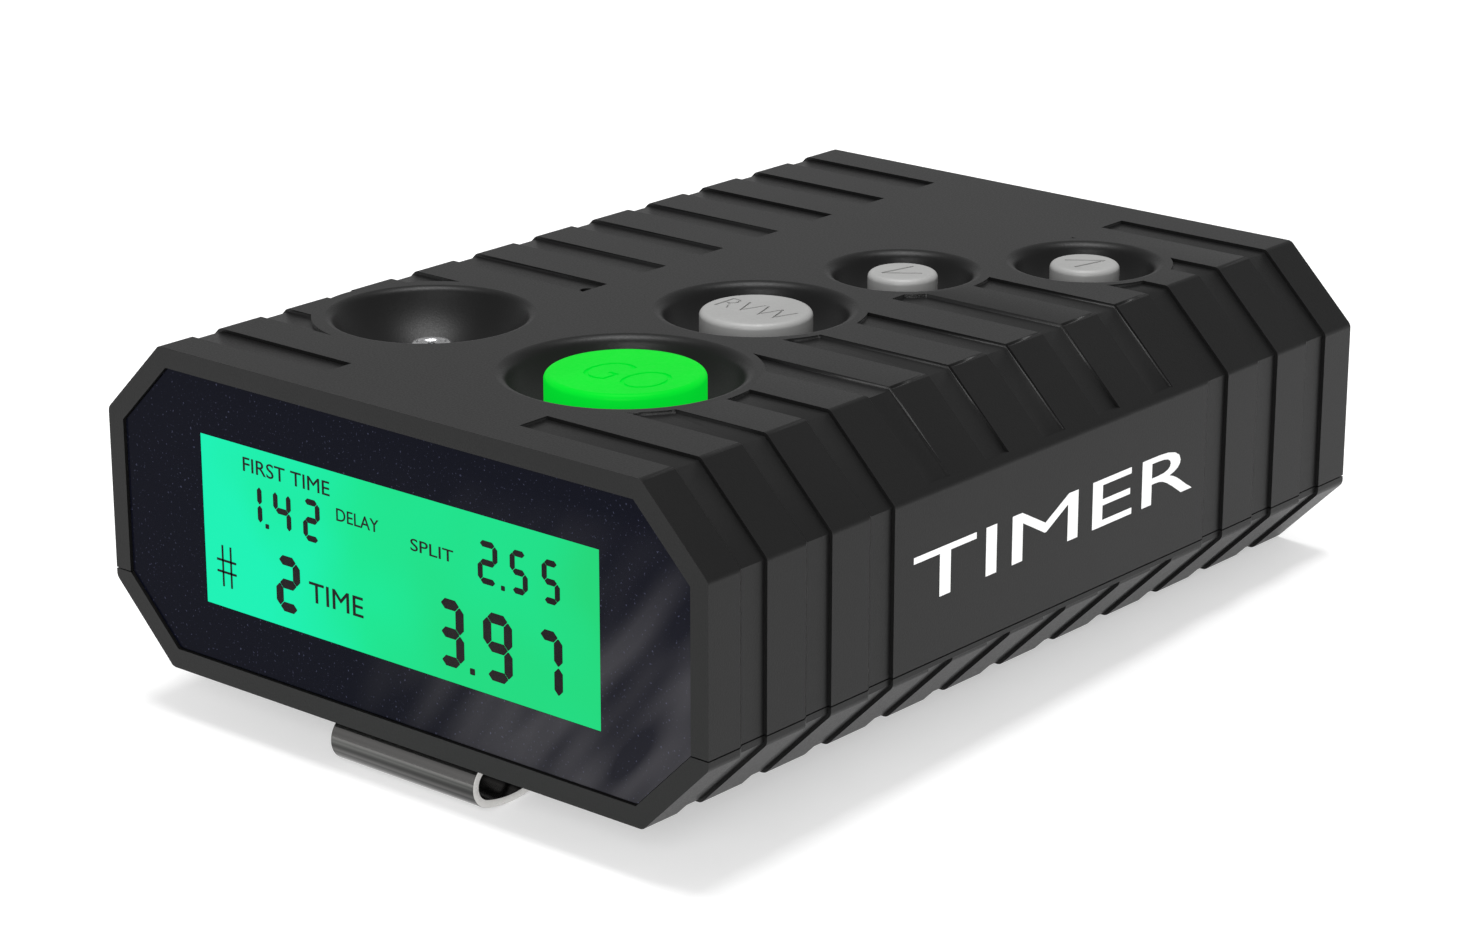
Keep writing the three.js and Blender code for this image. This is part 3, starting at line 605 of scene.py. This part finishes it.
for name in key_names:
    low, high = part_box(f"{name}_button")
    at, r = (low + high) / 2, key_radius[name]
    rest, stem, wall, crown = low.z + 0.6 * mm, 1.2 * mm, 1.2 * mm, high.z - 1.8 * mm
    key = turned(f"{name}_cap", [
        (stem, low.z), (stem, crown), (r - wall, crown), (r - wall, rest), (r + flange, rest),
        (r + flange, rest + 1.2 * mm), (r, rest + 1.2 * mm),
        *arc(r - key_round, high.z - key_round, key_round, 0, 90, 8)], at.x, at.y, 128)
    for tool in legend_tools(name, at.x, at.y, high.z):
        combine(key, tool, "DIFFERENCE", overlapping=True)
    finished(key, go_finish if name == "go" else key_finish, f"{name}_key",
             "go_key" if name == "go" else "grey_key", f"{name}_button", angle=35)

# ---------------------------------------------------------------- microphone capsule
# A small electret capsule with a domed, polished can stands in its rubber boot at the bottom
# of the bowl, with a sound hole in its middle.
low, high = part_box("microphone")
at, r = (low + high) / 2, 2 * mm
foot = high.z - 5.9 * mm
can = turned("capsule_can", [
    (r - 0.1 * mm, foot), (r, foot + 0.1 * mm), (r, high.z - 0.35 * mm),
    *arc(r - 0.35 * mm, high.z - 0.35 * mm, 0.35 * mm, 12, 90, 6), (1.45 * mm, high.z),
    (1.35 * mm, high.z - 0.15 * mm), (0.7 * mm, high.z - 0.15 * mm)], at.x, at.y, 64)
combine(can, turned("hole", [(0.35 * mm, high.z - 0.6 * mm), (0.35 * mm, high.z + 1 * mm)],
                    at.x, at.y, 24), "DIFFERENCE")
for side in (-1, 1):
    lead = turned("lead", [(0.25 * mm, low.z), (0.25 * mm, foot + 0.4 * mm)],
                  at.x + side * r / 2, at.y, 16)
    combine(can, lead, "UNION")
can_finish, can_shader = grain_finish("polished_can", (0.66, 0.66, 0.67), (0.74, 0.74, 0.75), 0.16,
                                      0.26, 1800.0, 0.002 * mm, 300.0)
can_shader.inputs["Metallic"].default_value = 1.0
finished(can, can_finish, "housing", "bright_steel", "microphone")

# ---------------------------------------------------------------- display window
# The lit window sits in the lens: a green glow, brighter and bluer to the left, with dark
# seven-segment figures and small dark words printed in front of it.
lens_front, lens_rear = front + 0.3 * mm, front + 1.8 * mm
window_low = Vector((-25.1 * mm, lens_front + 0.06 * mm, under + 7.7 * mm))
window_high = Vector((24.95 * mm, lens_rear, under + 24.45 * mm))
hair = 0.02 * mm
window = block("display_window", window_low + Vector((hair, 0, hair)),
               window_high - Vector((hair, 0, hair)))
edit(window)
pick(window, "FACE", lambda middle, face: face.normal.y < -0.5)
bpy.ops.mesh.inset(thickness=0.3 * mm, depth=0)
bpy.ops.object.mode_set(mode="OBJECT")
glow, glow_shader = finish_material("green_backlight", (0.0, 0.004, 0.002), 0.4)
glow_shader.inputs["Specular IOR Level"].default_value = 0.02
place = add_node(glow, "ShaderNodeTexCoord")
split = add_node(glow, "ShaderNodeSeparateXYZ")
wire(glow, place.outputs["Object"], split.inputs[0])
along = add_node(glow, "ShaderNodeMapRange")
along.inputs["From Min"].default_value, along.inputs["From Max"].default_value = -0.025, 0.025
wire(glow, split.outputs["X"], along.inputs["Value"])
cloud = noise(glow, 70.0, 1.5, 0.4)
sway = add_node(glow, "ShaderNodeMath", operation="MULTIPLY_ADD")
sway.inputs[1].default_value, sway.inputs[2].default_value = 0.9, -0.45
wire(glow, cloud, sway.inputs[0])
drift = add_node(glow, "ShaderNodeMath", operation="ADD")
wire(glow, along.outputs["Result"], drift.inputs[0])
wire(glow, sway.outputs[0], drift.inputs[1])
band = add_node(glow, "ShaderNodeValToRGB")
band.color_ramp.elements[0].position, band.color_ramp.elements[1].position = 0.0, 1.0
band.color_ramp.elements[0].color = (0.010, 0.88, 0.46, 1)
band.color_ramp.elements[1].color = (0.016, 0.67, 0.19, 1)
middle_stop = band.color_ramp.elements.new(0.45)
middle_stop.color = (0.010, 0.79, 0.29, 1)
wire(glow, drift.outputs[0], band.inputs["Fac"])
wire(glow, band.outputs["Color"], glow_shader.inputs["Emission Color"])
glow_shader.inputs["Emission Strength"].default_value = 1.0
finished(window, glow, "housing", "lcd")

# ---------------------------------------------------------------- figures and words
# The dark marks of the display: seven-segment figures with bevelled ends and small gaps, a
# hash sign, decimal points, and short words.
ink_front, ink_rear = lens_front + 0.01 * mm, lens_front + 0.05 * mm
segments_of = {"1": "bc", "2": "abged", "3": "abgcd", "4": "fgbc", "5": "afgcd", "7": "abc",
               "9": "abcdfg"}
marks = []


def mark(x0, x1, z0, z1, pointed=True):
    """One dark segment of the display, in millimetres from the casing's underside."""
    piece = block("mark", (x0 * mm, ink_front, under + z0 * mm), (x1 * mm, ink_rear, under + z1 * mm))
    edit(piece)
    pick(piece, "EDGE", lambda middle, run: abs(run.y) > 0.9 * (ink_rear - ink_front))
    share = 0.45 if pointed else 0.12
    bpy.ops.mesh.bevel(offset=min(x1 - x0, z1 - z0) * mm * share, segments=1, affect="EDGES")
    bpy.ops.object.mode_set(mode="OBJECT")
    marks.append(piece)


def figure(sign, x0, x1, z0, z1, stroke):
    """One seven-segment figure between its outer edges."""
    half, gap = stroke / 2, 0.07 * stroke + 0.03
    left, right, low, high = x0 + half, x1 - half, z0 + half, z1 - half
    centre = (low + high) / 2
    for segment in segments_of[sign]:
        if segment in "agd":
            z = {"a": high, "g": centre, "d": low}[segment]
            mark(left + gap, right - gap, z - half, z + half)
        else:
            x = left if segment in "ef" else right
            start, end = (centre, high) if segment in "bf" else (low, centre)
            mark(x - half, x + half, start + gap, end - gap)


figure("1", -19.3, -17.05, 17.0, 21.1, 0.58)
figure("4", -15.5, -13.2, 17.0, 21.1, 0.58)
figure("2", -11.6, -9.4, 17.0, 21.1, 0.58)
figure("2", -15.5, -12.3, 9.3, 14.8, 0.92)
figure("2", 10.5, 12.9, 18.1, 22.15, 0.58)
figure("5", 14.4, 16.5, 18.1, 22.15, 0.58)
figure("5", 18.2, 20.3, 18.1, 22.15, 0.58)
figure("3", 5.3, 8.6, 9.2, 15.6, 0.98)
figure("9", 11.0, 14.5, 9.2, 15.6, 0.98)
figure("7", 17.4, 20.5, 9.2, 15.6, 0.98)
for x, z, size in ((-16.43, 17.15, 0.45), (13.51, 18.2, 0.45), (9.57, 9.37, 0.6)):
    mark(x - size / 2, x + size / 2, z - size / 2, z + size / 2, pointed=False)
for z in (12.4, 11.25):
    mark(-23.5, -20.9, z - 0.11, z + 0.11, pointed=False)
for x in (-22.7, -21.6):
    mark(x - 0.11, x + 0.11, 9.8, 13.9, pointed=False)
for words, x0, x1, z, cap in (("FIRST TIME", -19.4, -8.0, 21.93, 1.4),
                              ("DELAY", -7.2, -1.8, 19.83, 1.2), ("TIME", -11.1, -4.1, 11.1, 1.95),
                              ("SPLIT", 2.2, 7.5, 19.15, 1.15)):
    piece = lettering("word", words, (x1 - x0) * mm, cap * mm, ink_rear - ink_front)
    piece.rotation_euler = (math.pi / 2, 0, 0)
    piece.location = (x0 * mm, ink_rear, under + z * mm)
    marks.append(settle(piece))
select_nothing()
for piece in marks:
    piece.select_set(True)
bpy.context.view_layer.objects.active = marks[0]
bpy.ops.object.join()
figures = settle(bpy.context.object, "display_marks")
ink, ink_shader = grain_finish("display_ink", (0.006, 0.004, 0.005), (0.010, 0.007, 0.008), 0.5,
                               0.65, 1500.0, 0.001 * mm)
ink_shader.inputs["Specular IOR Level"].default_value = 0.08
finished(figures, ink, "housing", "lens_plate")

# ---------------------------------------------------------------- display lens
# An acrylic plate let into the front frame, printed navy black from behind with a fine pearl
# speckle round the window. It is polished, with a painted reflection towards its lower right.
lens = octagon("lens_plate", 2.1 * mm, lens_front, lens_rear, soft=0.25 * mm)
edit(lens)
pick(lens, "FACE", lambda middle, face: face.normal.y < -0.9)
bpy.ops.mesh.inset(thickness=0.12 * mm, depth=0)
bpy.ops.object.mode_set(mode="OBJECT")
combine(lens, block("opening", (window_low.x, front - 1 * mm, window_low.z),
                    (window_high.x, lens_rear + 1 * mm, window_high.z)), "DIFFERENCE")
acrylic, acrylic_shader = finish_material("printed_acrylic_painted_reflection", (0.011, 0.012, 0.019), 0.14)
acrylic_shader.inputs["Specular IOR Level"].default_value = 0.02
# Painted reflection: lighter diagonal streaks, strongest towards the lower right corner, are mixed into the navy
# base colour; the printed speckle is added after.
place = add_node(acrylic, "ShaderNodeTexCoord")
turn = add_node(acrylic, "ShaderNodeMapping")
turn.vector_type = "TEXTURE"
turn.inputs["Rotation"].default_value = (0, math.radians(40), 0)
turn.inputs["Scale"].default_value = (0.0042, 0.05, 0.022)
wire(acrylic, place.outputs["Object"], turn.inputs["Vector"])
streak = add_node(acrylic, "ShaderNodeTexNoise")
streak.inputs["Scale"].default_value, streak.inputs["Detail"].default_value = 1.0, 1.0
wire(acrylic, turn.outputs["Vector"], streak.inputs["Vector"])
split = add_node(acrylic, "ShaderNodeSeparateXYZ")
wire(acrylic, place.outputs["Object"], split.inputs[0])
across = add_node(acrylic, "ShaderNodeMapRange")
across.inputs["From Min"].default_value, across.inputs["From Max"].default_value = -0.006, 0.036
wire(acrylic, split.outputs["X"], across.inputs["Value"])
down = add_node(acrylic, "ShaderNodeMapRange")
down.inputs["From Min"].default_value, down.inputs["From Max"].default_value = 0.033, 0.010
wire(acrylic, split.outputs["Z"], down.inputs["Value"])
corner = add_node(acrylic, "ShaderNodeMath", operation="MULTIPLY")
wire(acrylic, across.outputs["Result"], corner.inputs[0])
wire(acrylic, down.outputs["Result"], corner.inputs[1])
bright = spread(acrylic, streak.outputs["Fac"], 0.36, 0.62, (0.15,) * 3, (1.0,) * 3)
painted_reflection_mask = add_node(acrylic, "ShaderNodeMath", operation="MULTIPLY")
wire(acrylic, corner.outputs[0], painted_reflection_mask.inputs[0])
wire(acrylic, bright, painted_reflection_mask.inputs[1])
painted_reflection_mix = add_node(acrylic, "ShaderNodeMix", data_type="RGBA")
painted_reflection_mix.inputs["A"].default_value = (0.0034, 0.0038, 0.0078, 1)
painted_reflection_mix.inputs["B"].default_value = (0.066, 0.064, 0.070, 1)
wire(acrylic, painted_reflection_mask.outputs[0], painted_reflection_mix.inputs["Factor"])
speck = add_node(acrylic, "ShaderNodeTexNoise")
speck.inputs["Scale"].default_value, speck.inputs["Detail"].default_value = 3400.0, 1.0
wire(acrylic, place.outputs["Object"], speck.inputs["Vector"])
dots = spread(acrylic, speck.outputs["Fac"], 0.66, 0.76, (0,) * 3, (0.030, 0.032, 0.055))
total = add_node(acrylic, "ShaderNodeMix", data_type="RGBA", blend_type="ADD")
total.inputs["Factor"].default_value = 1.0
wire(acrylic, painted_reflection_mix.outputs["Result"], total.inputs["A"])
wire(acrylic, dots, total.inputs["B"])
wire(acrylic, total.outputs["Result"], acrylic_shader.inputs["Base Color"])
finished(lens, acrylic, "housing", "lens_plate", "display_lens", angle=20)

# ---------------------------------------------------------------- side print
# A plain word in white ink is printed on the right side, in the smooth panel between the grips.
print_depth = 0.03 * mm
word = lettering("side_print", "TIMER", 44 * mm, 4.7 * mm, print_depth)
word.rotation_euler = (math.pi / 2, 0, math.pi / 2)
word.location = (half_width + 0.005 * mm, front + 28 * mm, under + 14.3 * mm)
settle(word)
white_ink, _ = grain_finish("white_ink", (0.86,) * 3, (0.92,) * 3, 0.45, 0.6, 1500.0, 0.002 * mm)
finished(word, white_ink, "housing", "casing")

# ---------------------------------------------------------------- shell screws
# Four pan-head screws with a cross recess come up from below, in deep round sinks.
screw_finish, screw_shader = grain_finish("blackened_screw", (0.10, 0.10, 0.105), (0.15, 0.15, 0.15),
                                          0.30, 0.45, 2600.0, 0.003 * mm, 400.0)
screw_shader.inputs["Metallic"].default_value = 1.0


def cross_recess(x, y, z, reach, wide, depth):
    """The tool for a cross drive that opens downwards at height z."""
    tool = block("cross", (x - reach, y - wide, z - 1 * mm), (x + reach, y + wide, z + depth))
    return combine(tool, block("arm", (x - wide, y - reach, z - 1 * mm),
                               (x + wide, y + reach, z + depth)), "UNION")


low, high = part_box("shell_screw_1")
at, head = (low + high) / 2, (high.x - low.x) / 2
pattern = turned("shell_screw", [
    (head - 0.7 * mm, low.z), (head - 0.2 * mm, low.z + 0.2 * mm), (head, low.z + 0.6 * mm),
    (head, low.z + 1.49 * mm), (1.3 * mm, low.z + 1.5 * mm), (1.3 * mm, high.z - 0.6 * mm),
    (0.8 * mm, high.z)], at.x, at.y, 48)
combine(pattern, cross_recess(at.x, at.y, low.z, 1.3 * mm, 0.28 * mm, 0.9 * mm), "DIFFERENCE")
for i in range(1, 5):
    screw = copied(pattern, f"casing_screw_{i}")
    screw.location = middle_of(f"shell_screw_{i}") - at
    settle(screw)
    finished(screw, screw_finish, "housing", "screw_steel", f"shell_screw_{i}")
bpy.data.objects.remove(pattern)

# ---------------------------------------------------------------- belt clip
# One strip of spring steel: a flat leg screwed under the casing, a tight bend at the front, a
# belly that the timer stands on, a long tongue that rises to grip the belt, and a flared end.
# Two holes through the tongue let a driver reach the screws of the leg.
clip_half, clip_thick = 9.15 * mm, 0.75 * mm
clip_top = under - 0.05 * mm
leg_end = front + 28.5 * mm
bend_outer, bend_y = 2.25 * mm, front + 2.75 * mm
bend_z = clip_top - bend_outer
belly_across = 5.4 * mm - 2.75 * mm
belly_below = bend_z
belly_outer = (belly_across ** 2 + belly_below ** 2 - bend_outer ** 2) / (
    2 * (belly_below - bend_outer))
belly_turn = math.asin(belly_across / (belly_outer - bend_outer))
strip = block("clip_strip", (-clip_half, leg_end - 0.5 * mm, clip_top - clip_thick),
              (clip_half, leg_end, clip_top))
edit(strip)
pick(strip, "FACE", lambda middle, face: face.normal.y < -0.5)
walk_y, walk_z = leg_end - 0.5 * mm, clip_top - clip_thick / 2
heading = math.pi


def run_on(distance):
    """The strip goes straight on."""
    global walk_y, walk_z
    step = (0, distance * math.cos(heading), distance * math.sin(heading))
    bpy.ops.mesh.extrude_region_move(TRANSFORM_OT_translate={"value": step})
    walk_y, walk_z = walk_y + step[1], walk_z + step[2]


def turn_on(angle, radius, steps):
    """The strip bends through an angle, about a centre on one side of it."""
    global walk_y, walk_z, heading
    side = math.copysign(math.pi / 2, angle)
    centre_y = walk_y + radius * math.cos(heading + side)
    centre_z = walk_z + radius * math.sin(heading + side)
    bpy.ops.mesh.spin(steps=steps, angle=-angle, center=(0, centre_y, centre_z), axis=(1, 0, 0))
    heading += angle
    walk_y = centre_y - radius * math.cos(heading + side)
    walk_z = centre_z - radius * math.sin(heading + side)


rise, slope, flare = math.radians(11.4), math.radians(4.7), math.radians(12)
belly_middle = belly_outer - clip_thick / 2
run_on(leg_end - 0.5 * mm - bend_y)
turn_on(math.pi - belly_turn, bend_outer - clip_thick / 2, 40)
turn_on(belly_turn + rise, belly_middle, 16)
run_on(6 * mm)
turn_on(slope - rise, 40 * mm, 8)
run_on(20 * mm)
turn_on(-slope - flare, 8 * mm, 10)
run_on(5 * mm)
bpy.ops.mesh.select_all(action="SELECT")
bpy.ops.mesh.remove_doubles(threshold=1e-6)
bpy.ops.mesh.select_mode(type="FACE")
bpy.ops.mesh.select_all(action="DESELECT")
bpy.ops.mesh.select_interior_faces()
bpy.ops.mesh.delete(type="FACE")
bpy.ops.mesh.select_all(action="SELECT")
bpy.ops.mesh.normals_make_consistent(inside=False)
ends = [Vector((0, leg_end, clip_top - clip_thick / 2)), Vector((0, walk_y, walk_z))]
pick(strip, "EDGE", lambda middle, run: abs(run.x) < 1e-6 and min(
    (Vector((0, middle.y, middle.z)) - end).length for end in ends) < 0.1 * mm)
bpy.ops.mesh.bevel(offset=1.6 * mm, segments=6, affect="EDGES")
pick(strip, "EDGE", lambda middle, run: abs(run.x) < 1e-6 and abs(abs(middle.x) - clip_half) < 1e-6
     and run.length != 0 and abs(run.length - clip_thick) > 0.02 * mm)
bpy.ops.mesh.bevel(offset=0.08 * mm, segments=2, affect="EDGES")
bpy.ops.object.mode_set(mode="OBJECT")
for i in (1, 2):
    at = middle_of(f"clip_screw_{i}")
    neck, head = 1.25 * mm, 2.4 * mm
    combine(strip, turned("countersink", [
        (head, clip_top - clip_thick - 0.3 * mm), (head, clip_top - clip_thick), (neck, clip_top),
        (neck, clip_top + 1 * mm)], at.x, at.y, 64), "DIFFERENCE")
    combine(strip, turned("access", [(2.9 * mm, -1 * mm), (2.9 * mm, clip_top - clip_thick - 0.35 * mm)],
                          at.x, at.y, 64), "DIFFERENCE")
spring, spring_shader = grain_finish("polished_spring_steel", (0.10, 0.098, 0.095),
                                     (0.13, 0.128, 0.125), 0.10, 0.18, 2200.0, 0.002 * mm, 300.0)
spring_shader.inputs["Metallic"].default_value = 1.0
place = add_node(spring, "ShaderNodeTexCoord")
draw = add_node(spring, "ShaderNodeMapping")
draw.inputs["Scale"].default_value = (6, 900, 900)
wire(spring, place.outputs["Object"], draw.inputs["Vector"])
lines = add_node(spring, "ShaderNodeTexNoise")
lines.inputs["Scale"].default_value, lines.inputs["Detail"].default_value = 1.0, 2.0
wire(spring, draw.outputs["Vector"], lines.inputs["Vector"])
wire(spring, spread(spring, lines.outputs["Fac"], 0.38, 0.66, (0.02,) * 3, (0.24, 0.235, 0.23)),
     spring_shader.inputs["Base Color"])
sheared, sheared_shader = grain_finish("sheared_edge", (0.70, 0.69, 0.67), (0.80, 0.79, 0.77), 0.25,
                                       0.4, 2600.0, 0.004 * mm, 300.0)
sheared_shader.inputs["Metallic"].default_value = 1.0
finished(strip, spring, None, "bright_steel", "clip_leg", "clip_tongue", angle=25)
strip.data.materials.append(sheared)
for face in strip.data.polygons:
    face.material_index = 1 if abs(face.normal.x) > 0.5 and abs(face.center.x) > 5 * mm else 0
corner = Vector((0, front, under))
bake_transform(strip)

# ---------------------------------------------------------------- clip screws
# Two countersunk screws hold the leg of the clip, flush with its lower face.
for i in (1, 2):
    low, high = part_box(f"clip_screw_{i}")
    at, head = (low + high) / 2, (high.x - low.x) / 2
    screw = turned(f"leg_screw_{i}", [(head - 0.1 * mm, low.z), (head, low.z + 0.08 * mm),
                                      (1.15 * mm, clip_top), (1.15 * mm, high.z - 0.4 * mm),
                                      (0.8 * mm, high.z)], at.x, at.y, 48)
    combine(screw, cross_recess(at.x, at.y, low.z, 1.2 * mm, 0.26 * mm, 0.7 * mm), "DIFFERENCE")
    finished(screw, steel_finish, "housing", "screw_steel", f"clip_screw_{i}")

# ---------------------------------------------------------------- battery door
# The rear door swings down on a steel pin along its lower edge. A thumb notch at its top edge
# lets it be pulled open, and its lower edge is rounded about the pin.
low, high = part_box("battery_door")
pin = middle_of("door_hinge_pin")
thick, barrel_radius = 2 * mm, 1.3 * mm
door = block("rear_cover", (low.x, rear - thick, low.z + barrel_radius), (high.x, rear, high.z))
edit(door)
pick(door, "EDGE", lambda middle, run: middle.z > pin.z + 0.1 * mm and middle.y > rear - 0.01 * mm)
bpy.ops.mesh.bevel(offset=0.25 * mm, segments=3, affect="EDGES")
bpy.ops.object.mode_set(mode="OBJECT")
barrel = turned("barrel", [(barrel_radius - 0.15 * mm, low.x), (barrel_radius, low.x + 0.15 * mm),
                           (barrel_radius, high.x - 0.15 * mm),
                           (barrel_radius - 0.15 * mm, high.x)], 0, 0, 48)
combine(door, lying(barrel, 0, pin.y, pin.z, "X"), "UNION")
bore = turned("bore", [(0.66 * mm, low.x - 1 * mm), (0.66 * mm, high.x + 1 * mm)], 0, 0, 32)
combine(door, lying(bore, 0, pin.y, pin.z, "X"), "DIFFERENCE")
notch = turned("notch", [(4.6 * mm, rear - 0.9 * mm), (5 * mm, rear - 0.5 * mm),
                         (5.2 * mm, rear + 1 * mm)], 0, 0, 64)
combine(door, lying(notch, 0, 0, high.z, "Y"), "DIFFERENCE")
finished(door, moulding, "rear_door", "casing", "battery_door")

# ---------------------------------------------------------------- floor, light and camera
# The timer stands on a matt pale table, lit softly from within. It rests on the belly of its clip and on the lower
# rear edge of the casing, so the table leans with those two lines.
table, table_shader = grain_finish("pale_light_table", (0.60,) * 3, (0.63,) * 3, 0.7, 0.85,
                                   300.0, 0.01 * mm)
table_shader.inputs["Emission Color"].default_value = (1, 1, 1, 1)
table_shader.inputs["Emission Strength"].default_value = 0.45
belly_y = front + 5.4 * mm
lean = math.atan2(under, rear - belly_y)
select_nothing()
bpy.ops.mesh.primitive_plane_add(size=3, location=(0, belly_y, 0))
floor = bpy.context.object
floor.name = "floor"
floor.rotation_euler = (lean, 0, 0)
floor.data.materials.append(table)

# A round room that is bright near the horizon and dim above, so that the slopes of the casing
# differ; where the camera looks past the table it is plain white.
world = bpy.data.worlds.new("soft_room")
bpy.context.scene.world = world
world.use_nodes = True
backdrop = world.node_tree.nodes["Background"]
place = world.node_tree.nodes.new("ShaderNodeTexCoord")
split = world.node_tree.nodes.new("ShaderNodeSeparateXYZ")
world.node_tree.links.new(place.outputs["Generated"], split.inputs[0])
fade = world.node_tree.nodes.new("ShaderNodeValToRGB")
for position, level in ((0.0, 0.62), (0.16, 0.46), (0.34, 0.09), (0.62, 0.05), (0.9, 0.25)):
    stop = (fade.color_ramp.elements[0] if position == 0.0 else
            fade.color_ramp.elements[1] if position == 0.9 else
            fade.color_ramp.elements.new(position))
    stop.position, stop.color = position, (level, level, level, 1)
world.node_tree.links.new(split.outputs["Z"], fade.inputs["Fac"])
seen = world.node_tree.nodes.new("ShaderNodeLightPath")
choose = world.node_tree.nodes.new("ShaderNodeMix")
choose.data_type = "RGBA"
choose.inputs["B"].default_value = (1, 1, 1, 1)
world.node_tree.links.new(seen.outputs["Is Camera Ray"], choose.inputs["Factor"])
world.node_tree.links.new(fade.outputs["Color"], choose.inputs["A"])
world.node_tree.links.new(choose.outputs["Result"], backdrop.inputs["Color"])
backdrop.inputs["Strength"].default_value = 1.0
bpy.context.scene.view_settings.view_transform = "Standard"


def soft_light(name, size, power, place, target):
    lamp = bpy.data.lights.new(name, "AREA")
    lamp.shape, lamp.size, lamp.energy = "SQUARE", size, power
    holder = bpy.data.objects.new(name, lamp)
    bpy.context.scene.collection.objects.link(holder)
    holder.location = place
    holder.rotation_mode = "QUATERNION"
    holder.rotation_quaternion = (Vector(target) - Vector(place)).to_track_quat("-Z", "Y")


soft_light("overhead", 0.6, 12.0, (0.0, 0.0, 1.15), (0, 0, 0.02))
soft_light("beside_the_camera", 0.25, 1.8, (0.26, -0.42, 0.20), (0, 0, 0.02))

camera_data = bpy.data.cameras.new("camera")
camera_data.lens, camera_data.sensor_width = 97.4, 36
camera_data.clip_start = 0.01
camera = bpy.data.objects.new("camera", camera_data)
bpy.context.scene.collection.objects.link(camera)
camera.location = (0.23985, -0.28505, 0.14298)
camera.rotation_mode = "QUATERNION"
aim = Vector((0.03112, -0.03930, 0.03509)) - camera.location
camera.rotation_quaternion = aim.to_track_quat("-Z", "Y")
bpy.context.scene.camera = camera
